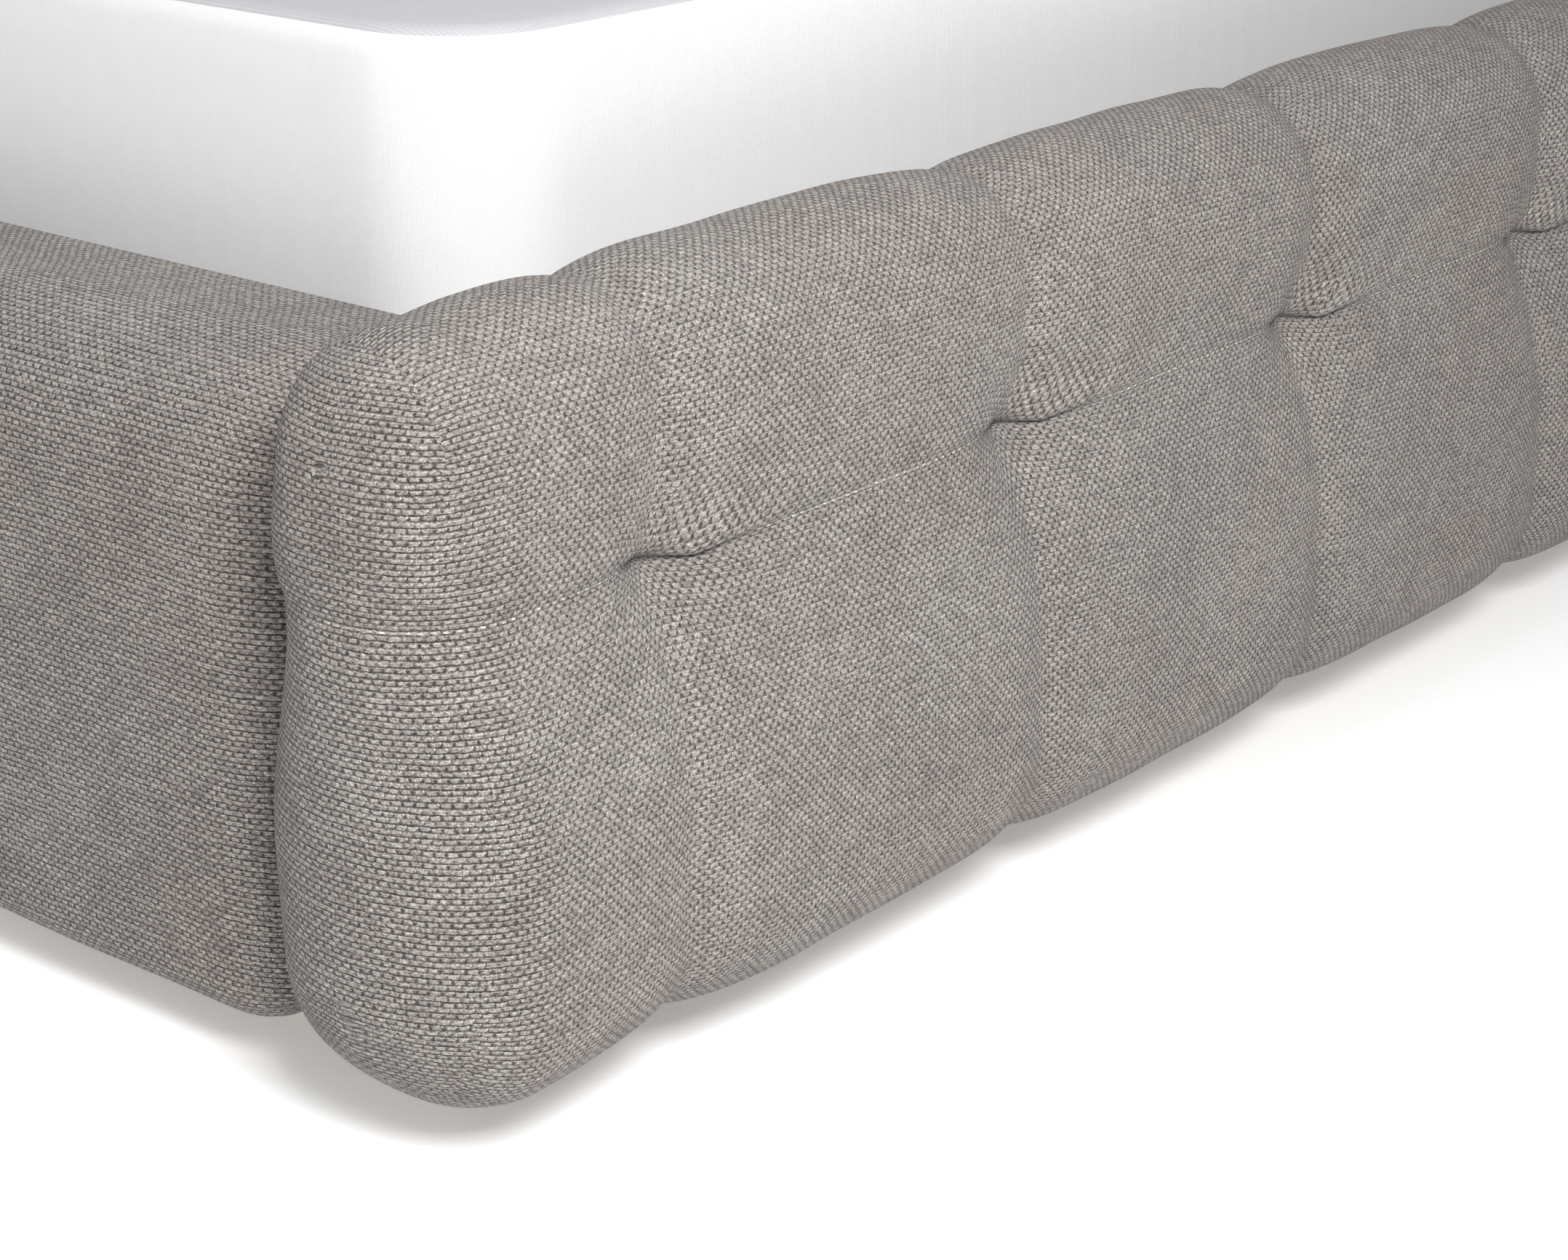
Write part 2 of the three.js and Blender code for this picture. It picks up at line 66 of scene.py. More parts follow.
END_PAST_CAD = 9.0  # how far an upholstered end stands past the CAD solid
END_REACH = 55.0  # how far a board's rounded end stands out from where it starts
END_POWER = 1.88  # its roundness: 2 is an ellipse
END_TOP_POWER = 2.9  # sharper where the end meets the rolled top
END_STEPS = 13  # loops of mesh round the end
END_RIDGE = 5  # of those, how many the wrapped fabric covers, before the end's own piece
BOTTOM_GAP = 1.8  # from the CAD solid's underside up to the cover's flat underside

WEAVE_ROW = 0.0026  # one row of the chenille, in metres
WEAVE_CELL = 0.0052  # from one float to the next along a row

END_WEAVE = (0.860, 0.905)  # where the ends' deeper row gaps, in relief and in painted shade, fade in, in metres from the middle
HEM_HEIGHT = 0.0252  # of the bound edge under every cover, in metres

FABRIC_BODY = "bed_frame"


def mm_box(node):
    """A CAD node's box in millimetres."""
    low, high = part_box(node)
    return np.array(low) / MM, np.array(high) / MM


# ---- Shader nodes as arithmetic ----


def node_for(operation):
    """A method that adds one Math node."""
    return lambda self, *others: self._math(operation, *others)


class Field:
    """A shader value. Arithmetic on fields adds the nodes that do it."""

    def __init__(self, tree, socket):
        self.tree = tree
        self.socket = socket

    def _math(self, operation, *others, clamp=False):
        node = self.tree.nodes.new("ShaderNodeMath")
        node.operation = operation
        node.use_clamp = clamp
        for index, value in enumerate((self, *others)):
            if isinstance(value, Field):
                self.tree.links.new(value.socket, node.inputs[index])
            else:
                node.inputs[index].default_value = value
        return Field(self.tree, node.outputs[0])

    __add__ = __radd__ = node_for("ADD")
    __sub__ = node_for("SUBTRACT")
    __mul__ = node_for("MULTIPLY")
    __truediv__ = node_for("DIVIDE")
    floor = node_for("FLOOR")
    fract = node_for("FRACT")
    sine = node_for("SINE")
    exp = node_for("EXPONENT")
    size = node_for("ABSOLUTE")
    above = node_for("GREATER_THAN")

    def __rsub__(self, other):
        return self._math("MULTIPLY_ADD", -1.0, other)

    def clamped(self):
        return self._math("ADD", 0.0, clamp=True)

    def arches(self, width):
        """A row of round ribs, each as wide as given: 0 between them and 1 along their tops."""
        return ((self / width).fract() * math.pi).sine()

    def step(self, low, high):
        """0 below low, 1 above high, and smooth between them."""
        node = self.tree.nodes.new("ShaderNodeMapRange")
        node.interpolation_type = "SMOOTHSTEP"
        self.tree.links.new(self.socket, node.inputs["Value"])
        node.inputs["From Min"].default_value = low
        node.inputs["From Max"].default_value = high
        return Field(self.tree, node.outputs["Result"])


class Shader:
    """A new material, with short ways to add its nodes."""

    def __init__(self, name):
        self.material = bpy.data.materials.new(name)
        self.material.use_nodes = True
        self.tree = self.material.node_tree
        self.surface = self.tree.nodes["Principled BSDF"]

    def field(self, socket):
        return Field(self.tree, socket)

    def uv(self, name):
        """The two coordinates of a UV map."""
        node = self.tree.nodes.new("ShaderNodeUVMap")
        node.uv_map = name
        split = self.tree.nodes.new("ShaderNodeSeparateXYZ")
        self.tree.links.new(node.outputs["UV"], split.inputs[0])
        return [self.field(split.outputs[axis]) for axis in range(2)]

    def place(self):
        """Where the point is on the object, in metres."""
        node = self.tree.nodes.new("ShaderNodeTexCoord")
        split = self.tree.nodes.new("ShaderNodeSeparateXYZ")
        self.tree.links.new(node.outputs["Object"], split.inputs[0])
        return [self.field(split.outputs[axis]) for axis in range(3)]

    def vector(self, x, y, z=0.0):
        node = self.tree.nodes.new("ShaderNodeCombineXYZ")
        for index, part in enumerate((x, y, z)):
            if isinstance(part, Field):
                self.tree.links.new(part.socket, node.inputs[index])
            else:
                node.inputs[index].default_value = part
        return node.outputs[0]

    def noise(self, vector, scale, detail=2.0, roughness=0.5):
        node = self.tree.nodes.new("ShaderNodeTexNoise")
        self.tree.links.new(vector, node.inputs["Vector"])
        node.inputs["Scale"].default_value = scale
        node.inputs["Detail"].default_value = detail
        node.inputs["Roughness"].default_value = roughness
        return self.field(node.outputs["Fac"])

    def random(self, vector):
        node = self.tree.nodes.new("ShaderNodeTexWhiteNoise")
        self.tree.links.new(vector, node.inputs["Vector"])
        return self.field(node.outputs["Value"])

    def colour(self, stops, factor):
        """A colour ramp through stops of (place, colour)."""
        node = self.tree.nodes.new("ShaderNodeValToRGB")
        ramp = node.color_ramp
        while len(ramp.elements) < len(stops):
            ramp.elements.new(0.5)
        for element, (place, rgb) in zip(ramp.elements, stops):
            element.position = place
            element.color = (*rgb, 1.0)
        self.tree.links.new(factor.socket, node.inputs["Fac"])
        return node.outputs["Color"]

    def mix(self, factor, first, second, blend="MIX"):
        node = self.tree.nodes.new("ShaderNodeMix")
        node.data_type = "RGBA"
        node.blend_type = blend
        colour_inputs = [s for s in node.inputs if s.type == "RGBA"]
        for socket, value in zip([node.inputs[0], *colour_inputs], (factor, first, second)):
            if isinstance(value, Field):
                self.tree.links.new(value.socket, socket)
            elif isinstance(value, bpy.types.NodeSocket):
                self.tree.links.new(value, socket)
            elif isinstance(value, tuple):
                socket.default_value = (*value, 1.0)
            else:
                socket.default_value = value
        return next(s for s in node.outputs if s.type == "RGBA")

    def bump(self, height, distance, strength=1.0):
        node = self.tree.nodes.new("ShaderNodeBump")
        node.inputs["Strength"].default_value = strength
        node.inputs["Distance"].default_value = distance
        self.tree.links.new(height.socket, node.inputs["Height"])
        self.tree.links.new(node.outputs[0], self.surface.inputs["Normal"])

    def paint(self, colour):
        self.tree.links.new(colour, self.surface.inputs["Base Color"])

    def two_tones(self, dark, light, factor):
        """Paints the surface dark where the factor is 0 and light where it is 1."""
        self.paint(self.colour([(0.0, dark), (1.0, light)], factor))

    def rough(self, field):
        self.tree.links.new(field.socket, self.surface.inputs["Roughness"])

    def set(self, **values):
        """Sets the surface's own sockets, with _ for each space in their names."""
        for name, value in values.items():
            self.surface.inputs[name.replace("_", " ")].default_value = value


# ---- Materials ----


def make_chenille():
    """Thick two-tone chenille: rows of plump floats, staggered like bricks, with dark pits where
    the warp pulls them down, a fibrous surface, painted shade in the gaps between rows, and
    painted highlights on a few exposed warp threads."""
    mat = Shader("chenille")
    s, t = mat.uv("weave")
    plane = mat.vector(s, t)

    # Which float of which row a point is in, with rows that wander a little, and where in it.
    drift_s = mat.noise(plane, 24.0) - 0.5
    drift_t = mat.noise(mat.vector(t, s, 3.0), 24.0) - 0.5
    wobble = mat.noise(plane, 260.0) - 0.5
    rows = t / WEAVE_ROW + drift_t * 0.9 + wobble * 0.34
    row = rows.floor()
    v = rows.fract()
    cells = s / WEAVE_CELL + row * 0.5 + drift_s * 0.8 + wobble * 0.2
    cell = cells.floor()
    u = cells.fract()
    one = mat.random(mat.vector(cell, row))
    other = mat.random(mat.vector(cell, row, 7.0))

    # The pits between floats and the gaps between rows. On the ends every second gap is weaker.
    across = (u - 0.5) * 2.0
    up = (v - 0.5) * 2.0
    pit_u = (1.0 - across.size()) / (other * 0.12 + 0.24)
    pit_v = (up + 0.35) / 0.75
    pit = ((pit_u * pit_u + pit_v * pit_v) * -1.0).exp()
    on_end = s.size().step(*END_WEAVE)
    second = (row * 0.5).fract() * 2.0
    weaker = 1.0 - second * on_end * 0.5
    row_gap = (up + (one - 0.5) * 0.3 + 0.1).size().step(0.5, 1.1) * weaker
    pit = pit * weaker

    # Loose fibres and twisted strands, then the relief and the tone that all of these make.
    fibre = mat.noise(mat.vector(s, t * 1.5), 1500.0, detail=3.0, roughness=0.62)
    strand = mat.noise(mat.vector(s, t * 1.7, 5.0), 620.0, detail=2.0)
    yarn = 1.0 - up * up
    height = yarn * 0.62 - pit * 0.8 - row_gap * on_end * 0.4 + (one - 0.5) * 0.22
    height = height + (fibre - 0.5) * 0.8 + (strand - 0.5) * 0.6
    patches = mat.noise(plane, 9.0, detail=3.0, roughness=0.6)
    mottle = mat.noise(plane, 46.0, detail=2.0)
    tone = 0.66 + (fibre - 0.5) * 1.5 + (strand - 0.5) * 1.3 + (one - 0.5) * 0.16
    # Painted shade: the colour is darkened in the gaps between rows, more on the ends.
    tone = tone - pit * 0.72 - row_gap * (on_end * 0.46 + 0.30)
    tone = tone + (patches - 0.5) * 0.16 + (mottle - 0.5) * 0.14
    shade = mat.colour(
        [
            (0.0, (0.020, 0.017, 0.016)),
            (0.30, (0.105, 0.092, 0.085)),
            (0.52, (0.245, 0.222, 0.208)),
            (0.75, (0.420, 0.395, 0.375)),
            (1.0, (0.700, 0.675, 0.650)),
        ],
        tone.clamped(),
    )
    warm = mat.noise(mat.vector(t, s, 11.0), 7.0, detail=2.0).step(0.38, 0.66)
    tinted = mat.mix(warm, (1.0, 0.985, 0.968), (1.0, 0.962, 0.938))
    shade = mat.mix(1.0, shade, tinted, "MULTIPLY")

    _, _, z = mat.place()
    hem = (z - HEM_HEIGHT).size().step(0.0016, 0.0004)
    shade = mat.mix(hem * 0.8, shade, (0.30, 0.235, 0.15))

    # Painted highlights: near-white specks on bare warp threads, where they would catch the light, in
    # patches.
    painted_glint_area = mat.noise(mat.vector(s, t, 19.0), 16.0, detail=1.0).step(0.46, 0.62)
    glint_u = (u - 0.93) / 0.085
    glint_v = (v - 0.62) / 0.2
    painted_glint = ((glint_u * glint_u + glint_v * glint_v) * -1.0).exp()
    painted_glint = painted_glint * other.above(0.45) * painted_glint_area
    shade = mat.mix((painted_glint * 0.8).clamped(), shade, (0.83, 0.82, 0.80))
    mat.paint(shade)
    mat.bump(height, distance=0.0013, strength=1.0)
    mat.set(Roughness=0.93, Sheen_Weight=0.28, Sheen_Roughness=0.55)
    mat.surface.inputs["Sheen Tint"].default_value = (0.93, 0.91, 0.89, 1.0)
    mat.surface.inputs["Specular IOR Level"].default_value = 0.15
    return mat.material


def make_ticking():
    """White mattress border: a fine herringbone twill."""
    mat = Shader("ticking")
    s, t = mat.uv("weave")
    band = (s / 0.024).fract()
    lean = (band - 0.5).size() * 0.048
    rib = (t + lean).arches(0.0014)
    thread = s.arches(0.0011)
    soft = mat.noise(mat.vector(s, t), 60.0)
    height = rib * 0.6 + thread * 0.3 + soft * 0.2
    mat.two_tones((0.70, 0.70, 0.71), (0.83, 0.83, 0.835), height.clamped())
    mat.bump(height, distance=0.0003, strength=0.6)
    mat.set(Roughness=0.8, Sheen_Weight=0.1)
    return mat.material


def make_knit():
    """Knitted mattress top, darker than the border."""
    mat = Shader("knit")
    s, t = mat.uv("weave")
    wale = (s / 0.0018).fract()
    course = (t / 0.0015 + (wale - 0.5).size()).fract()
    loop = (course * math.pi).sine() * (wale * math.pi).sine()
    soft = mat.noise(mat.vector(s, t), 30.0)
    height = loop * 0.8 + soft * 0.3
    mat.two_tones((0.42, 0.42, 0.44), (0.57, 0.565, 0.59), height.clamped())
    mat.bump(height, distance=0.0003, strength=0.5)
    mat.set(Roughness=0.9, Sheen_Weight=0.1)
    return mat.material


def make_thread():
    """Pale twisted sewing thread."""
    mat = Shader("thread")
    x, _, z = mat.place()
    twist = ((x + z * 2.0) / 0.0012).sine() * 0.5 + 0.5
    mat.two_tones((0.30, 0.27, 0.24), (0.62, 0.60, 0.57), twist)
    mat.bump(twist, distance=0.0002)
    mat.set(Roughness=0.5, Sheen_Weight=0.2)
    return mat.material


def make_webbing():
    """Cream strap, woven in narrow ribs, a little soiled."""
    mat = Shader("webbing")
    x, y, z = mat.place()
    height = y.arches(0.0018) * 0.7 + x.arches(0.0022) * 0.3
    soil = mat.noise(mat.vector(x, y, z), 22.0)
    tone = (height * 0.7 + soil * 0.3).clamped()
    mat.two_tones((0.45, 0.42, 0.35), (0.78, 0.75, 0.67), tone)
    mat.bump(height, distance=0.0004)
    mat.set(Roughness=0.85)
    return mat.material


def make_cambric():
    """Thin black non-woven cloth, pressed in small dimples."""
    mat = Shader("cambric")
    x, y, z = mat.place()
    dimples = ((x / 0.0016).sine() * (y / 0.0016).sine()) * 0.5 + 0.5
    lint = mat.noise(mat.vector(x, y, z), 480.0)
    height = dimples * 0.7 + lint * 0.5
    mat.two_tones((0.010, 0.010, 0.011), (0.035, 0.035, 0.038), height.clamped())
    mat.bump(height, distance=0.0003)
    mat.set(Roughness=0.9)
    return mat.material


def make_wood(name, dark, light, grain):
    """Sawn timber: long grain with wandering growth rings, and a few knots."""
    mat = Shader(name)
    x, y, z = mat.place()
    wander = mat.noise(mat.vector(x * 1.2, y * 1.2, z * 1.2), 2.6) - 0.5
    rings = mat.noise(mat.vector(x * 0.12, y + wander * 0.06, z + wander * 0.05), grain, detail=3.0)
    fine = mat.noise(mat.vector(x * 0.1, y, z), grain * 14.0, detail=2.0)
    knots = mat.noise(mat.vector(x, y, z * 0.4), 4.2, detail=1.0).step(0.74, 0.80)
    bands = ((rings * 34.0).sine() * 0.5 + 0.5) * 0.55 + fine * 0.45
    wood = mat.colour([(0.0, dark), (1.0, light)], bands.clamped())
    darker = tuple(part * 0.45 for part in dark)
    mat.paint(mat.mix(knots * 0.7, wood, darker))
    mat.rough((bands * 0.2 + 0.5).clamped())
    mat.bump(bands, distance=0.0004, strength=0.6)
    return mat.material


def make_steel(name, colour, roughness, metallic):
    """A hard finish, slightly uneven, with faint scuffs."""
    mat = Shader(name)
    x, y, z = mat.place()
    cast = mat.noise(mat.vector(x, y, z), 420.0, detail=3.0)
    scuff = mat.noise(mat.vector(x * 6.0, y, z), 60.0, detail=2.0).step(0.58, 0.66)
    worn = tuple(min(1.0, part * 1.5 + 0.02) for part in colour)
    mat.paint(mat.mix(scuff * 0.5, colour, worn))
    mat.rough((cast * 0.25 + scuff * 0.12 + (roughness - 0.12)).clamped())
    mat.bump(cast, distance=0.00012)
    mat.set(Metallic=metallic)
    return mat.material


CHENILLE = make_chenille()
TICKING = make_ticking()
KNIT = make_knit()


# ---- Mesh helpers ----


def mesh_object(name, points, faces, material, uv=None):
    """points are in millimetres. uv, in metres, has one pair for each corner of each face."""
    mesh = bpy.data.meshes.new(name)
    mesh.from_pydata((np.asarray(points) * MM).tolist(), [], faces)
    if uv is not None:
        layer = mesh.uv_layers.new(name="weave")
        layer.data.foreach_set("uv", np.asarray(uv, dtype=np.float32).ravel())
    mesh.polygons.foreach_set("use_smooth", [True] * len(mesh.polygons))
    mesh.materials.append(material)
    piece = bpy.data.objects.new(name, mesh)
    bpy.context.scene.collection.objects.link(piece)
    return piece


def running_total(lengths):
    return np.concatenate([[0.0], np.cumsum(lengths)])


def graded(length_from, length_to, places, coarse, fine, reach):
    """Values from one length to another, fine near the given places and coarse away from them."""
    samples = np.linspace(length_from, length_to, 4000)
    distance = np.min([np.abs(samples - place) for place in places], axis=0)
    gap = fine + (coarse - fine) * np.clip(distance / reach - 0.5, 0.0, 1.0)
    passed = running_total(np.diff(samples) / gap[1:])
    return np.interp(np.linspace(0.0, passed[-1], round(passed[-1]) + 1), passed, samples)


def soft_size(distance, rounding):
    """The size of a distance, with the point at zero rounded off."""
    return np.sqrt(distance**2 + rounding**2) - rounding


def smooth(value, low, high):
    """0 at low, 1 at high, and smooth between them."""
    part = np.clip((value - low) / (high - low), 0.0, 1.0)
    return part * part * (3.0 - 2.0 * part)


def bell(distance, width):
    """1 at no distance, and next to nothing beyond twice the width."""
    return np.exp(-((distance / width) ** 2))


def ripples(across, up, seed, shortest=60.0, longest=210.0, count=26):
    """Gentle unevenness of hand-laid padding: waves in seeded directions, about 1 high."""
    random = np.random.default_rng(seed)
    total = np.zeros_like(across)
    for _ in range(count):
        wave = random.uniform(shortest, longest)
        heading = random.uniform(0.0, math.pi)
        phase = random.uniform(0.0, 2 * math.pi)
        way = across * math.cos(heading) + up * math.sin(heading)
        total += np.sin(way * 2 * math.pi / wave + phase) * wave / longest
    return total / math.sqrt(count) * 1.6


# ---- Tufted boards ----


class Board:
    """A thick upholstered board that runs along X, such as the footboard or the headboard.

    Its section is laid out on a spine that climbs from near the bottom to near the top.
    `spine(h)` gives a point (y, z), `front_way(h)` the unit vector from it to the front, and
    `half(h)` the distance to both faces. A rounded fan closes the section at each end.
    """

    def __init__(self, heights, spine, front_way, half, foot_drop, top_rise, foot_power, flat_bottom):
        self.flat_bottom = flat_bottom
        spines = np.array([spine(h) for h in heights])
        ways = np.array([front_way(h) for h in heights])
        halves = np.array([half(h) for h in heights])[:, None]
        front = spines + ways * halves
        back = spines - ways * halves
        foot, foot_turn = self.fan(spines[0], ways[0], halves[0, 0], -foot_drop, foot_power)
        top, top_turn = self.fan(spines[-1], ways[-1], halves[-1, 0], top_rise, 2.0)
        count = len(heights)
        middle = len(foot) // 2
        # From the middle of the bottom, up the front, over the top, down the back and under.
        self.outline = np.vstack([foot[middle::-1], front, top, back[::-1], foot[:middle:-1]])
        # The height on the spine that each of those points belongs to.
        rise = [*range(count)]
        place = [0] * (middle + 1) + rise + [count - 1] * len(top) + rise[::-1]
        place += [0] * (len(foot) - middle - 1)
        self.spines = spines[place]
        # How far round each is: 0 on the front, half a turn on the back, and below 0 underneath.
        upper = [np.zeros(count), top_turn, np.full(count, math.pi)]
        self.turn = np.concatenate([-foot_turn[middle::-1], *upper, -foot_turn[:middle:-1]])
        gaps = np.linalg.norm(np.diff(self.outline, axis=0), axis=1)
        self.arc = running_total(gaps)
        first = middle + 1
        front_arc = self.arc[first : first + count]
        self.level = front_arc[place]
        self.top_arc = self.arc[first + count + len(top) // 2]
        self.front_z = front[:, 1]
        self.front_arc = front_arc

    @staticmethod
    def fan(centre, front_way, half, rise, power):
        """Points from the front face over one end of the section to the back face, not counting
        those two, and how far round each is."""
        over = np.array([-front_way[1], front_way[0]])
        over = over * (1.0 if over[1] > 0 else -1.0) * rise
        steps = 2 * round((half + abs(rise)) * 0.8 / 9.5)
        turn = np.linspace(0.0, math.pi, steps + 1)[1:-1]
        near = np.sign(np.cos(turn)) * np.abs(np.cos(turn)) ** (2 / power) * half
        lift = np.sin(turn) ** (2 / power)
        points = centre + near[:, None] * front_way + lift[:, None] * over
        return points, turn

    def arc_at(self, z):
        """Where the front face is at height z, as arc length up from the middle of the bottom."""
        return float(np.interp(z, self.front_z, self.front_arc))

    def grid(self, stations):
        """The padded shape before tufting. Returns points [station, around, xyz] and, for each,
        its place on the fabric: as wrapped round the board, and as laid over the end."""
        start = stations[-1]
        around = len(self.outline)
        depth = np.linalg.norm(self.outline - self.spines, axis=1)
        sharp = np.where(self.level >= self.front_arc[-1] - 1e-6, 1.0, 0.0)
        sharp = np.maximum(sharp, smooth(self.level, self.front_arc[-1] - 90.0, self.front_arc[-1]))
        powers = END_POWER + (END_TOP_POWER - END_POWER) * sharp
        turn = np.linspace(0.0, math.pi / 2, 400)
        inward = np.zeros((END_STEPS + 1, around))
        outward = np.zeros((END_STEPS + 1, around))
        along = np.zeros((END_STEPS + 1, around))
        for j in range(around):
            dense_in = 1.0 - np.cos(turn) ** (2 / powers[j])
            dense_out = np.sin(turn) ** (2 / powers[j])
            lengths = np.hypot(np.diff(dense_in) * depth[j], np.diff(dense_out) * END_REACH)
            passed = running_total(lengths)
            even = np.linspace(0.0, passed[-1], END_STEPS + 1)
            inward[:, j] = np.interp(even, passed, dense_in)
            outward[:, j] = np.interp(even, passed, dense_out) * END_REACH
            along[:, j] = even
        section = self.outline[None] + (self.spines - self.outline)[None] * inward[:, :, None]
        straight = np.empty((len(stations), around, 3))
        straight[:, :, 0] = stations[:, None]
        straight[:, :, 1:] = self.outline[None]
        ends = np.empty((END_STEPS, around, 3))
        ends[:, :, 0] = start + outward[1:]
        ends[:, :, 1:] = section[1:]
        mirrored = ends[::-1].copy()
        mirrored[:, :, 0] *= -1.0
        points = np.concatenate([mirrored, straight, ends])
        points[:, :, 2] = np.maximum(points[:, :, 2], self.flat_bottom)

        whole = along[-1]
        left = whole[None] - along[1:]
        end_across = start + whole[None] - left * np.cos(self.turn)[None]
        end_up = self.level[None] + left * np.sin(self.turn)[None]
        wrap_across = start + along[1:]
        wrap_up = np.broadcast_to(self.arc, wrap_across.shape)
        flat_across = np.broadcast_to(stations[:, None], straight.shape[:2])
        flat_up = np.broadcast_to(self.arc, straight.shape[:2])

        def on_fabric(across, up):
            whole_across = np.concatenate([-across[::-1], flat_across, across])
            return np.stack([whole_across, np.concatenate([up[::-1], flat_up, up])], axis=2)

        wrapped = on_fabric(wrap_across, wrap_up)
        laid = on_fabric(end_across, end_up)
        self.end_across = float(start + 2 * whole.mean())
        return points, wrapped, laid


def grid_normals(points):
    """Outward normals of a grid [station, around, xyz] whose last column meets its first."""
    around = np.roll(points, -1, axis=1) - np.roll(points, 1, axis=1)
    along = np.gradient(points, axis=0)
    normal = np.cross(along, around)
    normal[0] = (-1.0, 0.0, 0.0)
    normal[-1] = (1.0, 0.0, 0.0)
    return normal / np.maximum(np.linalg.norm(normal, axis=2, keepdims=True), 1e-9)


def tufting(across, up, rows, valley, end_across, seed):
    """How far the fabric is pulled in at each place on it, how far it is drawn sideways, and how
    far it hangs down.

    `valley(up)` is the depth of the upright folds that run through each column of tufts. Level
    creases join the tufts of each row, deepest near them, and fade before the far ends of the
    fabric at `end_across`. Above each crease the padding swells and hangs a little over it.
    """
    random = np.random.default_rng(seed)
    nearest = np.argmin([np.abs(across - column) for column in FOLD_COLUMNS], axis=0)
    dx = across - np.array(FOLD_COLUMNS)[nearest]
    vary = random.uniform(0.88, 1.12, size=(len(rows), len(FOLD_COLUMNS)))
    lean = random.uniform(-2.5, 2.5, size=(len(rows) + 1, len(FOLD_COLUMNS)))
    from_valley = soft_size(dx - lean[-1][nearest], 2.5)
    depth = (valley(up) * np.exp(-from_valley / VALLEY_WIDTH)) ** FOLD_BLEND
    drawn = np.zeros((*across.shape, 2))
    sagging = np.zeros_like(across)
    before_end = 1.0 - smooth(np.abs(across), end_across - 58.0, end_across - 8.0)
    on_front = np.abs(across) < end_across - 120.0
    for number, row in enumerate(rows):
        dv = up - row
        reach = np.hypot(dx, dv)

        by_tuft = np.exp(-soft_size(dx, 6.0) / 42.0)
        above = np.exp(-soft_size(dv, 1.5) / (20.0 - 10.0 * by_tuft))
        below = np.exp(-soft_size(dv, 1.5) / 32.0)
        fold = np.where(dv > 0, above, below) * CREASE_DEPTH * (0.30 + 1.5 * by_tuft)
        fold = fold * before_end

        pit = 0.5 * np.exp(-soft_size(reach, 2.0) / 11.0) + 0.5 * bell(reach, 40.0)
        pit = pit * TUFT_DEPTH * vary[number][nearest]
        pleats = np.cos(np.arctan2(dv, dx) * 6.0 + lean[number][nearest] * 2.0)
        pit = pit + pleats * 0.9 * bell(reach - 26.0, 16.0)
        depth = depth + np.maximum(fold, 0.0) ** FOLD_BLEND + np.maximum(pit, 0.0) ** FOLD_BLEND

        lip = bell(dx - 26.0, 30.0) * 5.5
        groove = bell(dv, 2.2) * (1.0 + lip) * before_end
        swell = bell(dv - 30.0, 18.0) * np.exp(-np.abs(dx - 22.0) / 44.0) * 3.5
        depth = np.maximum(depth ** (1 / FOLD_BLEND) + groove - swell, 0.0) ** FOLD_BLEND
        sag = bell(dv - 9.0, 9.0) * np.exp(-np.abs(dx - 24.0) / 46.0) * 13.0
        sagging = np.maximum(sagging, sag * on_front)

        draw = 13.0 * (1.0 - np.exp(-reach / 9.0)) * np.exp(-reach / 38.0)
        drawn[..., 0] += draw * dx / np.maximum(reach, 1e-6)
        drawn[..., 1] += draw * dv / np.maximum(reach, 1e-6)
    return depth ** (1 / FOLD_BLEND), drawn, sagging


def board_cover(name, board, stations, rows, valley, relief, seed):
    """The fabric cover of a board, tufted. `relief(points, up)` is how far it is let in besides."""
    points, wrapped, laid = board.grid(stations)
    normals = grid_normals(points)
    across, up = laid[..., 0], laid[..., 1]
    depth, drawn, sagging = tufting(across, up, rows, valley, board.end_across, seed)
    depth = depth + ripples(across, up, seed) * 0.8 + relief(points, up)
    points = points - normals * depth[..., None]
    points[:, :, 2] -= sagging
    points[:, :, 2] = np.maximum(points[:, :, 2], board.flat_bottom)

    count, around = points.shape[:2]
    end_piece = END_STEPS - END_RIDGE
    faces, uv = [], []
    wrapped = (wrapped + drawn) * MM
    laid = (laid + drawn) * MM
    turn = board.arc[-1] * MM + np.linalg.norm(board.outline[0] - board.outline[-1]) * MM
    for i in range(count - 1):
        on_end = i < end_piece or i >= count - 1 - end_piece
        place = laid if on_end else wrapped
        for j in range(around):
            k = (j + 1) % around
            faces.append((i * around + j, (i + 1) * around + j, (i + 1) * around + k, i * around + k))
            corners = [place[i, j], place[i + 1, j], place[i + 1, k], place[i, k]]
            if k == 0 and not on_end:
                corners[2] = corners[2] + (0.0, turn)
                corners[3] = corners[3] + (0.0, turn)
            uv.extend(corners)
    piece = mesh_object(name, points.reshape(-1, 3), faces, CHENILLE, uv)
    weld(piece)
    return piece, points


def weld(piece, distance=1e-5):
    """Joins vertices in the same place, such as those where an end closes."""
    work = bmesh.new()
    work.from_mesh(piece.data)
    bmesh.ops.remove_doubles(work, verts=work.verts, dist=distance)
    bmesh.ops.recalc_face_normals(work, faces=work.faces)
    work.to_mesh(piece.data)
    work.free()
    piece.data.polygons.foreach_set("use_smooth", [True] * len(piece.data.polygons))


def subdivide(piece):
    finer = piece.modifiers.new("finer", "SUBSURF")
    finer.levels = 1
    finer.render_levels = 1


def finish_soft(piece, node):
    """Makes a chenille piece stand for a soft CAD node of the frame."""
    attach(piece, FABRIC_BODY)
    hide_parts(node)


# ---- Footboard ----

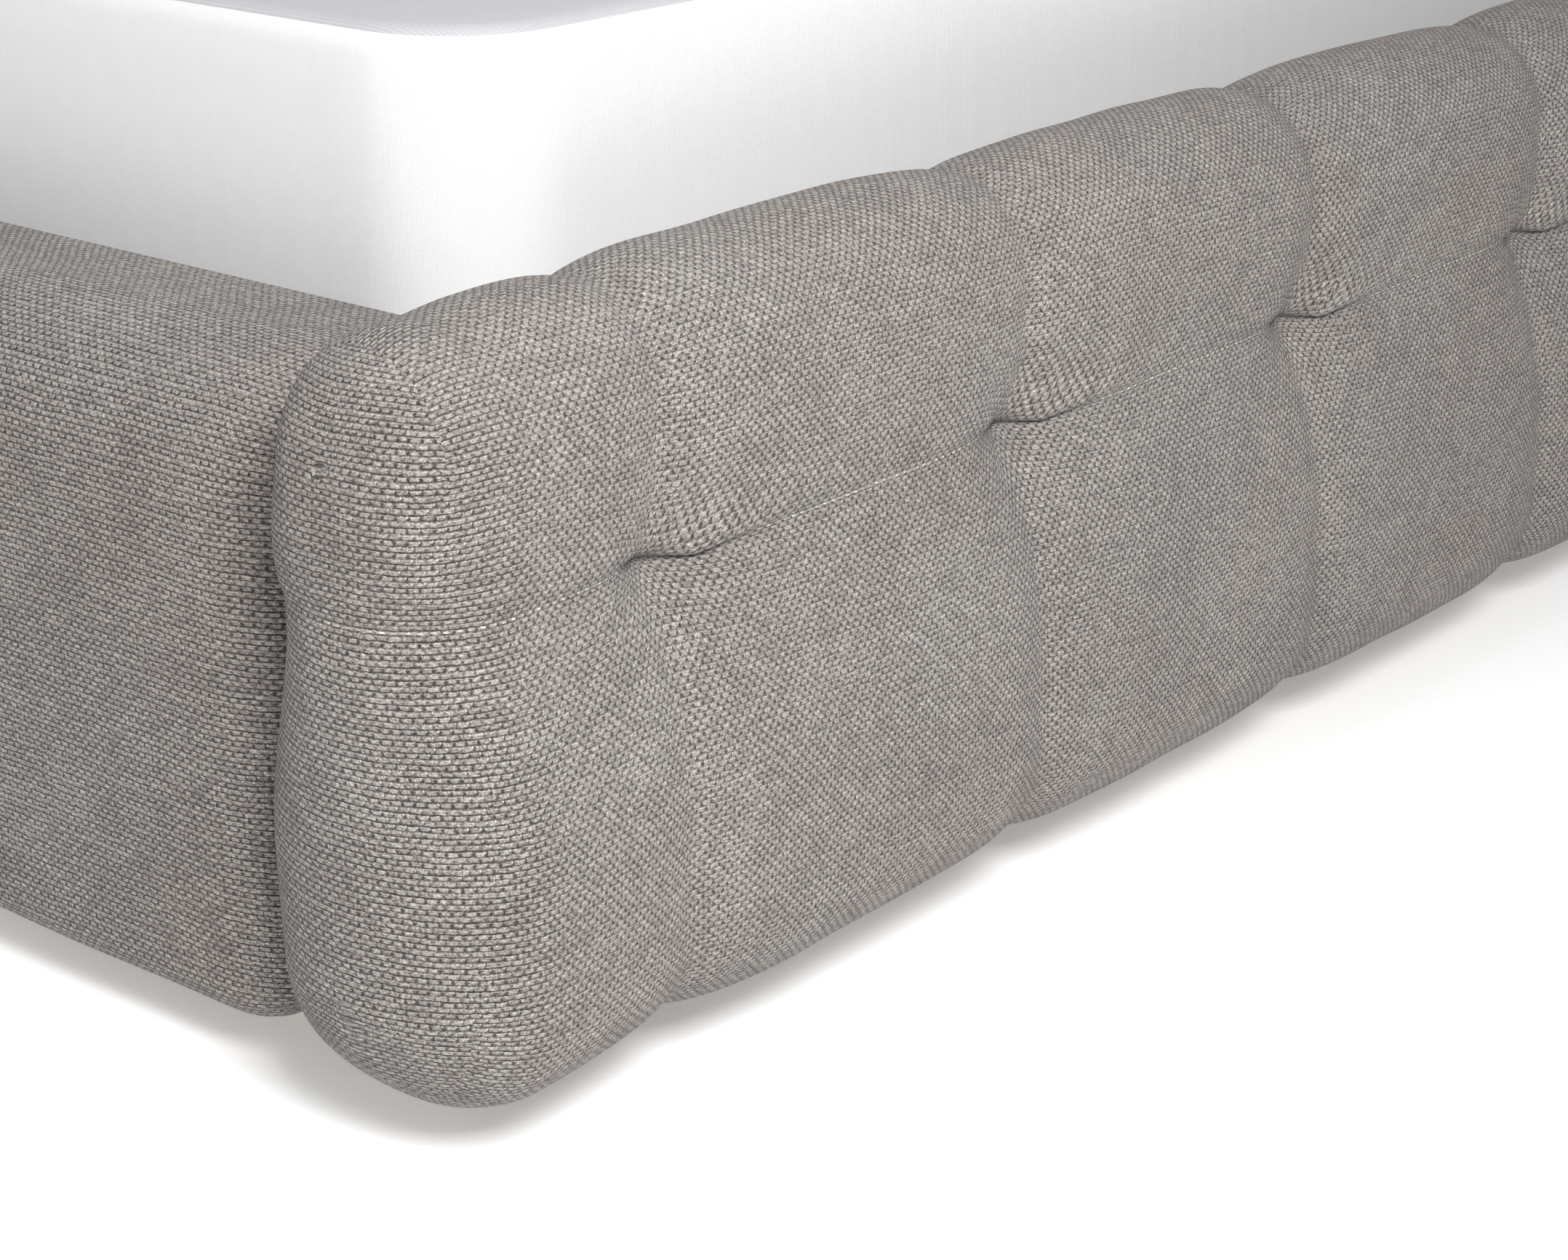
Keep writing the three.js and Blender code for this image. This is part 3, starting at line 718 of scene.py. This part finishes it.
foot_low, foot_high = mm_box("footboard_pad")
END_START = foot_high[0] + END_PAST_CAD - END_REACH
tuft_plane = foot_low[1] + TUFT_BEHIND_FRONT
FOOT_HALF = 60.0  # half the footboard's thickness at its tufts
FOOT_FAN = 65.0  # height of its rounded bottom
ROLL_RADIUS = 60.0  # of its rolled top
roll_centre = foot_high[2] + 5.0 - ROLL_RADIUS


def foot_spine(h):
    above = float(smooth(h - TUFT_HEIGHT, 0.0, 66.0))
    return (tuft_plane + 46.5 - 8.3 * above, h)


def foot_half(h):
    above = float(smooth(h - TUFT_HEIGHT, 0.0, 66.0))
    below = float(smooth(TUFT_HEIGHT - h, 0.0, 112.0))
    return FOOT_HALF - 6.8 * above + 15.5 * below


def make_footboard():
    heights = graded(foot_low[2] + FOOT_FAN, roll_centre, [TUFT_HEIGHT], 12.0, 4.0, 30.0)
    bottom = foot_low[2] + BOTTOM_GAP
    board = Board(
        heights, foot_spine, lambda h: (-1.0, 0.0), foot_half, FOOT_FAN, ROLL_RADIUS, 2.4, bottom
    )
    stations = graded(-END_START, END_START, FOLD_COLUMNS, 14.0, 4.5, 42.0)
    row = board.arc_at(TUFT_HEIGHT)
    top = board.top_arc
    anchors = [0.0, 40.0, 110.0, row - 60.0, row, row + 50.0, top - 60.0, top, top + 62.0, top + 92.0]
    depths = [8.0, 10.5, 8.0, 8.5, 12.0, 10.5, 8.0, 8.5, 4.0, 0.0]

    def valley(up):
        return np.interp(up, anchors, depths)

    def relief(points, up):
        """Lowers the roll towards the ends, and sews a narrow groove where the end's piece meets it."""
        out = np.abs(points[..., 0])
        upper = smooth(up, row + 50.0, top - 20.0)
        lowered = 4.0 * smooth(out, 775.0, END_START) * upper * smooth(up, top + 90.0, top)
        seam = 3.2 * bell(out - END_START + 4.0, 9.0) * upper * (up < top + 40.0)
        return lowered + seam

    cover, points = board_cover("footboard_cover", board, stations, [row], valley, relief, seed=11)
    subdivide(cover)
    finish_soft(cover, "footboard_pad")
    return board, points


foot_board, foot_points = make_footboard()


# ---- Headboard ----

head_low, head_high = mm_box("headboard_pad")
HEAD_HALF = 65.0  # half the headboard's thickness
BEND_START = 520.0  # height where it starts to curve backwards
BEND_MIDDLE_RADIUS = 1235.0  # of that curve, at the middle of the board
BEND_FRONT_RADIUS = BEND_MIDDLE_RADIUS + HEAD_HALF
head_middle = head_low[1] + HEAD_HALF
HEAD_ROWS = (597.0, 827.0, 1057.0)  # heights of its rows of tufts


def bend_angle(h):
    """How far the board leans back at length h along its middle."""
    return max(0.0, (h - BEND_START) / BEND_MIDDLE_RADIUS)


def head_spine(h):
    angle = bend_angle(h)
    y = head_middle + BEND_MIDDLE_RADIUS * (1.0 - math.cos(angle))
    z = min(h, BEND_START) + BEND_MIDDLE_RADIUS * math.sin(angle)
    return (y, z)


def head_way(h):
    angle = bend_angle(h)
    return (-math.cos(angle), math.sin(angle))


def make_headboard():
    top_angle = math.asin((head_high[2] - HEAD_HALF - BEND_START) / BEND_MIDDLE_RADIUS)
    top = BEND_START + BEND_MIDDLE_RADIUS * top_angle
    # Roughly where the rows are along the middle, because the mesh is finer there.
    leans = [math.asin((z - BEND_START - 20.0) / BEND_FRONT_RADIUS) for z in HEAD_ROWS]
    fine_places = [BEND_START + BEND_MIDDLE_RADIUS * lean for lean in leans]
    heights = graded(head_low[2] + HEAD_HALF, top, fine_places, 26.0, 7.5, 34.0)
    half = HEAD_HALF - 0.5
    bottom = head_low[2] + BOTTOM_GAP
    board = Board(heights, head_spine, head_way, lambda h: half, HEAD_HALF, HEAD_HALF, 2.6, bottom)
    stations = graded(-END_START, END_START, FOLD_COLUMNS, 24.0, 7.5, 42.0)
    rows = [board.arc_at(z) for z in HEAD_ROWS]
    top_arc = board.top_arc
    anchors = [0.0, 400.0, rows[0] - 90.0, rows[0], rows[-1], top_arc - 60.0, top_arc, top_arc + 90.0]
    depths = [0.0, 0.0, 6.0, 9.0, 8.0, 6.5, 8.5, 0.0]

    def valley(up):
        return np.interp(up, anchors, depths)

    def relief(points, up):
        return 0.0

    cover, _ = board_cover("headboard_cover", board, stations, rows, valley, relief, seed=23)
    subdivide(cover)
    finish_soft(cover, "headboard_pad")


make_headboard()


# ---- Side rails ----

rail_low, rail_high = mm_box("rail_pad_left")
RAIL_CROWN_DROP = 8.0  # from the CAD solid's top down to the cover's
RAIL_STEPS = 220  # loops of mesh along a rail
RAIL_NEAR_STEPS = 13  # of those, how many are in the part nearest the footboard
RAIL_NEAR_SHARE = 0.02  # how much of the length that part is
END_ROUNDING = 46.0  # length over which the outer face turns in at the footboard
END_TUCK = 24.0  # how far it turns in


def rail_section():
    """The rail's outline as (outward, z), from its inner edge under and up the outer face, over
    the rounded top and down to the inner edge again."""
    thick = rail_high[0] - rail_low[0]
    low = rail_low[2]
    high = rail_high[2] - RAIL_CROWN_DROP
    corners = [
        (2.0, low + 2.0, 8.0),
        (thick, low + 2.0, 20.0),
        (thick, high, 60.0),
        (0.0, high, 30.0),
    ]
    outline = []
    count = len(corners)
    for number, (x, z, radius) in enumerate(corners):
        point = np.array([x, z])
        before = np.array(corners[number - 1][:2]) - point
        after = np.array(corners[(number + 1) % count][:2]) - point
        start = point + before / np.linalg.norm(before) * radius
        end = point + after / np.linalg.norm(after) * radius
        centre = start + end - point
        steps = max(4, round(radius * 1.57 / 5.0))
        for step in range(steps + 1):
            turn = math.pi / 2 * step / steps
            outline.append(centre + (start - centre) * math.cos(turn) + (end - centre) * math.sin(turn))
        next_corner = corners[(number + 1) % count]
        target = np.array(next_corner[:2]) - after / np.linalg.norm(after) * next_corner[2]
        gap = np.linalg.norm(target - end)
        pieces = max(1, round(gap / 9.0))
        for step in range(1, pieces):
            outline.append(end + (target - end) * step / pieces)
    return np.array(outline)


def foot_back_at(z):
    """Where the footboard's padded back is at height z, near its rounded end."""
    half = foot_half(z) - 1.5
    y, _ = foot_spine(z)
    if z > roll_centre:
        lift = min(1.0, (z - roll_centre) / ROLL_RADIUS)
        half = half * math.sqrt(1.0 - lift * lift)
    return y + half


def make_rail(name, node, side):
    """The cover of one rail, from the footboard's back to the headboard. side is -1 or 1 in X."""
    outline = rail_section()
    inner = rail_high[0]
    across = outline[:, 0]
    z = outline[:, 1]
    gaps = np.linalg.norm(np.roll(outline, -1, axis=0) - outline, axis=1)
    arc = running_total(gaps)
    tangent = np.roll(outline, -1, axis=0) - np.roll(outline, 1, axis=0)
    outward = np.stack([tangent[:, 1], -tangent[:, 0]], axis=1)
    outward = outward / np.linalg.norm(outward, axis=1)[:, None]
    near = np.array([min(foot_back_at(level), rail_low[1] + 0.5) for level in z])
    near = np.maximum(near, rail_low[1] - 60.0)
    far = rail_high[1] - 1.0
    steps = RAIL_STEPS
    close = np.linspace(0.0, RAIL_NEAR_SHARE, RAIL_NEAR_STEPS + 1)[:-1]
    share = np.concatenate([close, np.linspace(RAIL_NEAR_SHARE, 1.0, steps - RAIL_NEAR_STEPS + 1)])
    y = near[None] + (far - near[None]) * share[:, None]
    up = np.broadcast_to(arc[:-1], y.shape)
    part_up = np.clip((z - rail_low[2]) / (rail_high[2] - rail_low[2]), 0.0, 1.0)
    swell = 3.0 * np.sin(part_up * math.pi) * (across > 100.0)
    bulge = swell[None] + ripples(y, up, 31, 90.0, 420.0) * 1.3
    bulge = bulge * smooth(across, 20.0, 60.0)[None]
    higher = smooth(z, 150.0, 300.0)[None]
    from_end = np.clip((y - y[:1]) / (END_ROUNDING + 14.0 * higher), 0.0, 1.0)
    outer = smooth(across, 0.4 * across.max(), 0.85 * across.max())[None]
    tuck = 1.0 - np.sqrt(1.0 - (1.0 - from_end) ** 2)
    bulge = bulge - outer * (END_TUCK + 16.0 * higher) * tuck
    points = np.empty((steps + 1, len(outline), 3))
    points[:, :, 0] = side * (abs(inner) + across[None] + outward[None, :, 0] * bulge)
    points[:, :, 1] = y
    points[:, :, 2] = np.maximum(z[None] + outward[None, :, 1] * bulge, rail_low[2] + BOTTOM_GAP)
    around = len(outline)
    faces, uv = [], []
    for i in range(steps):
        for j in range(around):
            k = (j + 1) % around
            loop = [(i, j), (i + 1, j), (i + 1, k), (i, k)]
            faces.append([a * around + b for a, b in loop])
            for a, b in loop:
                lap = arc[-1] if (j == around - 1 and b == k) else 0.0
                uv.append((y[a, b] * MM, (arc[b] + lap) * MM))
    for i in (0, steps):
        ring = [i * around + j for j in range(around)]
        faces.append(ring)
        uv.extend([(across[j] * MM, z[j] * MM) for j in range(around)])
    piece = mesh_object(name, points.reshape(-1, 3), faces, CHENILLE, uv)
    weld(piece)
    finish_soft(piece, node)


make_rail("rail_cover_left", "rail_pad_left", -1.0)
make_rail("rail_cover_right", "rail_pad_right", 1.0)


# ---- Mattress ----

mattress_low, mattress_high = mm_box("mattress")
MATTRESS_INSET = 3.0  # from the CAD solid's sides in to the cover's
MATTRESS_CORNER = 62.0  # radius of the upright corners
MATTRESS_EDGE = 14.0  # radius of the edges round the top and the bottom
SIDE_STEPS = 14


def plan_outline(half_x, half_y, radius, spacing):
    """A rounded rectangle round the origin, with the way out at each point."""
    points, ways = [], []
    for turn_from, (sx, sy) in zip((0.0, 0.5, 1.0, 1.5), ((1, 1), (-1, 1), (-1, -1), (1, -1))):
        centre = np.array([sx * (half_x - radius), sy * (half_y - radius)])
        for step in range(9):
            turn = (turn_from + step / 16.0) * math.pi
            way = np.array([math.cos(turn), math.sin(turn)])
            points.append(centre + way * radius)
            ways.append(way)
    dense_points, dense_ways = [], []
    for number, point in enumerate(points):
        following = points[(number + 1) % len(points)]
        pieces = max(1, round(np.linalg.norm(following - point) / spacing))
        for step in range(pieces):
            dense_points.append(point + (following - point) * step / pieces)
            dense_ways.append(ways[number])
    return np.array(dense_points), np.array(dense_ways)


def make_mattress():
    """Rings of points from the underside, up the side, and in over the slightly domed top."""
    centre = (mattress_low + mattress_high) / 2
    half = (mattress_high - mattress_low)[:2] / 2 - MATTRESS_INSET
    plan, ways = plan_outline(half[0], half[1], MATTRESS_CORNER, 16.0)
    gaps = np.linalg.norm(np.roll(plan, -1, axis=0) - plan, axis=1)
    arc = running_total(gaps)
    low, high = mattress_low[2] + 0.5, mattress_high[2]
    edge = MATTRESS_EDGE
    profile = [(-170.0, low), (-60.0, low)]
    for t in np.linspace(0, math.pi / 2, 5):
        profile.append((-edge * (1 - math.sin(t)), low + edge * (1 - math.cos(t))))
    tall = high - low - 2 * edge
    for step in range(1, SIDE_STEPS):
        part = step / SIDE_STEPS
        profile.append((2.6 * math.sin(part * math.pi), low + edge + tall * part))
    side_end = len(profile)
    for t in np.linspace(0, math.pi / 2, 7):
        profile.append((-edge * (1 - math.cos(t)), high - edge * (1 - math.sin(t))))
    for further, rise in ((20.0, 0.6), (60.0, 1.6), (160.0, 2.4), (320.0, 2.8), (520.0, 3.0)):
        profile.append((-edge - further, high + rise))
    around = len(plan)
    points, places = [], []
    travelled = 0.0
    for number, (inset, z) in enumerate(profile):
        if number:
            travelled += math.dist(profile[number - 1], (inset, z))
        shrink = np.clip((half + inset) / half, 0.02, None)
        flat = plan * shrink if inset < -edge - 1.0 else plan + ways * inset
        wave = ripples(arc[:-1], np.full(around, z), 41, 300.0, 1400.0) * 0.5
        steep = 1.0 if low + edge < z < high - edge else 0.0
        for j in range(around):
            xy = flat[j] + ways[j] * wave[j] * steep
            points.append((centre[0] + xy[0], centre[1] + xy[1], z))
            places.append((arc[j], travelled))
    faces, uv, flats = [], [], []
    for i in range(len(profile) - 1):
        for j in range(around):
            k = (j + 1) % around
            loop = [(i, j), (i, k), (i + 1, k), (i + 1, j)]
            faces.append([a * around + b for a, b in loop])
            top = i >= side_end + 3
            flats.append(int(top))
            for a, b in loop:
                if top or i < 2:
                    x, y, _ = points[a * around + b]
                    uv.append((x * MM, y * MM))
                else:
                    lap = arc[-1] if (j == around - 1 and b == k) else 0.0
                    uv.append(((places[a * around + b][0] + lap) * MM, places[a * around + b][1] * MM))
    for i in (0, len(profile) - 1):
        ring = [i * around + j for j in range(around)]
        faces.append(ring[::-1] if i == 0 else ring)
        flats.append(1 if i else 0)
        uv.extend([(points[v][0] * MM, points[v][1] * MM) for v in faces[-1]])
    piece = mesh_object("mattress_cover", points, faces, TICKING, uv)
    piece.data.materials.append(KNIT)
    piece.data.polygons.foreach_set("material_index", flats)
    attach(piece, "mattress")
    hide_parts("mattress")


make_mattress()


# ---- Stitched seams and the headboard's back panel ----


def tube(name, paths, radius, material, sides):
    """Thin round threads along the given paths of points, in millimetres, as one mesh."""
    points, faces = [], []
    for path in paths:
        path = np.asarray(path)
        way = np.gradient(path, axis=0)
        way = way / np.linalg.norm(way, axis=1)[:, None]
        side = np.cross(way, (0.0, 0.0, 1.0))
        side = side / np.maximum(np.linalg.norm(side, axis=1)[:, None], 1e-6)
        rise = np.cross(side, way)
        first = len(points)
        count = len(path)
        for step in range(count):
            thin = radius * (0.45 if step in (0, count - 1) else 1.0)
            for corner in range(sides):
                turn = 2 * math.pi * corner / sides
                offset = side[step] * math.cos(turn) + rise[step] * math.sin(turn)
                points.append(path[step] + offset * thin)
        for step in range(count - 1):
            for corner in range(sides):
                after = (corner + 1) % sides
                a = first + step * sides
                faces.append((a + corner, a + after, a + sides + after, a + sides + corner))
        faces.append(tuple(first + corner for corner in reversed(range(sides))))
        faces.append(tuple(first + (count - 1) * sides + corner for corner in range(sides)))
    piece = mesh_object(name, points, faces, material)
    weld(piece, 1e-7)
    return piece


def resample(path, spacing):
    """Points an even distance apart along a path."""
    gaps = np.linalg.norm(np.diff(path, axis=0), axis=1)
    passed = running_total(gaps)
    places = np.arange(0.0, passed[-1], spacing)
    return np.stack([np.interp(places, passed, path[:, axis]) for axis in range(3)], axis=1)


def surface_row(board, points, z):
    """The cover's points along the row nearest a height on its front, with the way out there."""
    j = int(np.argmin(np.abs(board.arc - board.arc_at(z))))
    normals = grid_normals(points)
    return points[:, j], normals[:, j]


STITCH_STEP = 5.2  # from one stitch to the next
STITCH_POINTS = 4
STITCH_DIP = 0.9  # how far the ends of a stitch go into the fabric
THREAD_RADIUS = 0.55


def make_stitching(name, board, points, z, lift):
    """A row of short stitches along the front at one height."""
    row, out = surface_row(board, points, z)
    fine = resample(row + out * lift, STITCH_STEP / STITCH_POINTS)
    paths = []
    for start in range(0, len(fine) - STITCH_POINTS, STITCH_POINTS):
        stitch = fine[start : start + STITCH_POINTS].copy()
        stitch[[0, -1]] += (0.0, STITCH_DIP, 0.0)
        paths.append(stitch)
    piece = tube(name, paths, THREAD_RADIUS, make_thread(), sides=5)
    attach(piece, FABRIC_BODY)


make_stitching("footboard_stitching", foot_board, foot_points, TUFT_HEIGHT, 0.2)


def make_head_back():
    """The plain fabric panel that closes the headboard's back, a little proud of it."""
    low, high = mm_box("headboard_back")
    lowest = low[2] + BOTTOM_GAP
    angles = [bend_angle(h) for h in np.linspace(BEND_START, BEND_START + 590.0, 24)]
    chain = [(head_middle, z) for z in np.linspace(lowest, BEND_START, 22)[:-1]]
    ways = [(1.0, 0.0)] * len(chain)
    for angle in angles:
        chain.append(head_spine(BEND_START + BEND_MIDDLE_RADIUS * angle))
        ways.append((math.cos(angle), -math.sin(angle)))
    chain = np.array(chain)
    ways = np.array(ways)
    keep = chain[:, 1] + ways[:, 1] * HEAD_HALF <= high[2]
    chain, ways = chain[keep], ways[keep]
    edge = 12.0  # over which its rim rounds down
    xs = np.linspace(low[0], high[0], 84)
    points, faces, uv = [], [], []
    climbed = running_total(np.linalg.norm(np.diff(chain, axis=0), axis=1))
    for number, ((y, z), (wy, wz)) in enumerate(zip(chain, ways)):
        for x in xs:
            from_edge = min(x - low[0], high[0] - x, climbed[-1] - climbed[number])
            past_rim = 1.0 - min(from_edge / edge, 1.0)
            crown = 3.2 * math.sqrt(max(0.0, 1.0 - past_rim**2)) - 1.2
            depth = HEAD_HALF - 0.5 + crown
            points.append((x, y + wy * depth, z + wz * depth))
    wide = len(xs)
    for i in range(len(chain) - 1):
        for j in range(wide - 1):
            loop = [i * wide + j, i * wide + j + 1, (i + 1) * wide + j + 1, (i + 1) * wide + j]
            faces.append(loop)
            for vertex in loop:
                uv.append((xs[vertex % wide] * MM, climbed[vertex // wide] * MM))
    piece = mesh_object("headboard_back_cover", points, faces, CHENILLE, uv)
    thick = piece.modifiers.new("thick", "SOLIDIFY")
    thick.thickness = 0.003
    thick.offset = -1.0
    subdivide(piece)
    finish_soft(piece, "headboard_back")


make_head_back()


# ---- Materials of the frame ----

# The first of these that is in a CAD node's name gives its material.
SLOT_OF_PART = {
    "slat_strap": "webbing",
    "slat": "plywood",
    "dust_cover": "cambric",
    "panel": "plywood",
    "bracket": "black_steel",
    "hanger": "black_steel",
    "bolt": "zinc_steel",
    "levelling_foot": "zinc_steel",
    "glide": "black_plastic",
    "centre_leg": "pine",
    "centre_beam": "pine",
    "post": "pine",
    "crossbar": "pine",
    "board": "pine",
    "ledger": "pine",
}
FRAME_MATERIALS = {
    "webbing": make_webbing(),
    "cambric": make_cambric(),
    "plywood": make_wood("plywood", (0.55, 0.38, 0.22), (0.72, 0.55, 0.36), 60.0),
    "pine": make_wood("pine", (0.52, 0.35, 0.18), (0.76, 0.60, 0.38), 34.0),
    "black_steel": make_steel("black_steel", (0.022, 0.022, 0.024), 0.42, 0.0),
    "zinc_steel": make_steel("zinc_steel", (0.60, 0.61, 0.63), 0.34, 1.0),
    "black_plastic": make_steel("black_plastic", (0.015, 0.015, 0.016), 0.55, 0.0),
}


def dress_frame():
    """Every CAD node that stays gets its material, and small rounded edges where it is hard."""
    for name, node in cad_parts.items():
        material_slot = next((s for part, s in SLOT_OF_PART.items() if part in name), None)
        if material_slot is None or name.endswith("_pad") or "rail_pad" in name:
            continue
        material = FRAME_MATERIALS[material_slot]
        if node.material_slots:
            for material_place in node.material_slots:
                material_place.material = material
        else:
            node.data.materials.append(material)
        if material_slot in ("webbing", "cambric"):
            continue
        edges = node.modifiers.new("edges", "BEVEL")
        edges.width = 0.0012 if "steel" in material_slot else 0.002
        edges.segments = 2
        edges.limit_method = "ANGLE"
        edges.angle_limit = math.radians(50.0)


dress_frame()


# ---- Floor, light and camera ----


FLOOR_HALF = 60.0
CAMERA_LENS = 74.45
CAMERA_FROM_TUFT = (-0.96772, -0.8723, 0.45032)  # from the footboard's leftmost tuft
CAMERA_YAW = math.radians(50.37)  # from +Y towards +X
CAMERA_PITCH = math.radians(20.34)  # downwards


def make_floor():
    shader = Shader("floor")
    shader.set(Roughness=0.9, Emission_Strength=0.3)
    shader.surface.inputs["Base Color"].default_value = (0.90, 0.90, 0.90, 1.0)
    shader.surface.inputs["Emission Color"].default_value = (1.0, 1.0, 1.0, 1.0)
    size = FLOOR_HALF
    mesh = bpy.data.meshes.new("floor")
    corners = [(-size, -size, 0.0), (size, -size, 0.0), (size, size, 0.0), (-size, size, 0.0)]
    mesh.from_pydata(corners, [], [(0, 1, 2, 3)])
    mesh.materials.append(shader.material)
    floor = bpy.data.objects.new("floor", mesh)
    bpy.context.scene.collection.objects.link(floor)


def area_light(name, place, target, size, power):
    data = bpy.data.lights.new(name, "AREA")
    data.shape = "RECTANGLE"
    data.size, data.size_y = size
    data.energy = power
    light = bpy.data.objects.new(name, data)
    light.location = place
    aim = Vector(target) - Vector(place)
    light.rotation_euler = aim.to_track_quat("-Z", "Y").to_euler()
    bpy.context.scene.collection.objects.link(light)


def make_lights():
    world = bpy.data.worlds.new("world")
    world.use_nodes = True
    background = world.node_tree.nodes["Background"]
    background.inputs["Color"].default_value = (1.0, 1.0, 1.0, 1.0)
    background.inputs["Strength"].default_value = 0.25
    bpy.context.scene.world = world
    corner = Vector((foot_low[0] * MM, foot_low[1] * MM, 0.25))
    key = corner + Vector((-0.58, -1.1, 1.12))
    area_light("key", key, corner + Vector((0.25, 0.0, 0.0)), (0.55, 0.55), 43.0)
    area_light("left", (-2.6, 1.0, 1.6), (-0.83, -0.6, 0.25), (1.6, 1.0), 10.0)
    area_light("back", (0.6, 4.6, 1.0), (0.0, 1.2, 0.5), (2.0, 1.0), 75.0)
    area_light("right", (3.6, 0.4, 1.5), (0.9, 0.0, 0.3), (1.4, 1.2), 26.0)
    area_light("top", (0.0, 0.0, 3.6), (0.0, 0.0, 0.0), (3.2, 3.2), 24.0)


def make_camera():
    data = bpy.data.cameras.new("camera")
    data.lens = CAMERA_LENS
    data.sensor_width = 36.0
    camera = bpy.data.objects.new("camera", data)
    tuft = Vector((FOLD_COLUMNS[0], tuft_plane - 1.0, TUFT_HEIGHT)) * MM
    camera.location = tuft + Vector(CAMERA_FROM_TUFT)
    level = math.cos(CAMERA_PITCH)
    aim = Vector((math.sin(CAMERA_YAW) * level, math.cos(CAMERA_YAW) * level, -math.sin(CAMERA_PITCH)))
    camera.rotation_mode = "QUATERNION"
    camera.rotation_quaternion = aim.to_track_quat("-Z", "Y")
    bpy.context.scene.collection.objects.link(camera)
    bpy.context.scene.camera = camera


make_floor()
make_lights()
make_camera()
bpy.context.scene.view_settings.view_transform = "Standard"
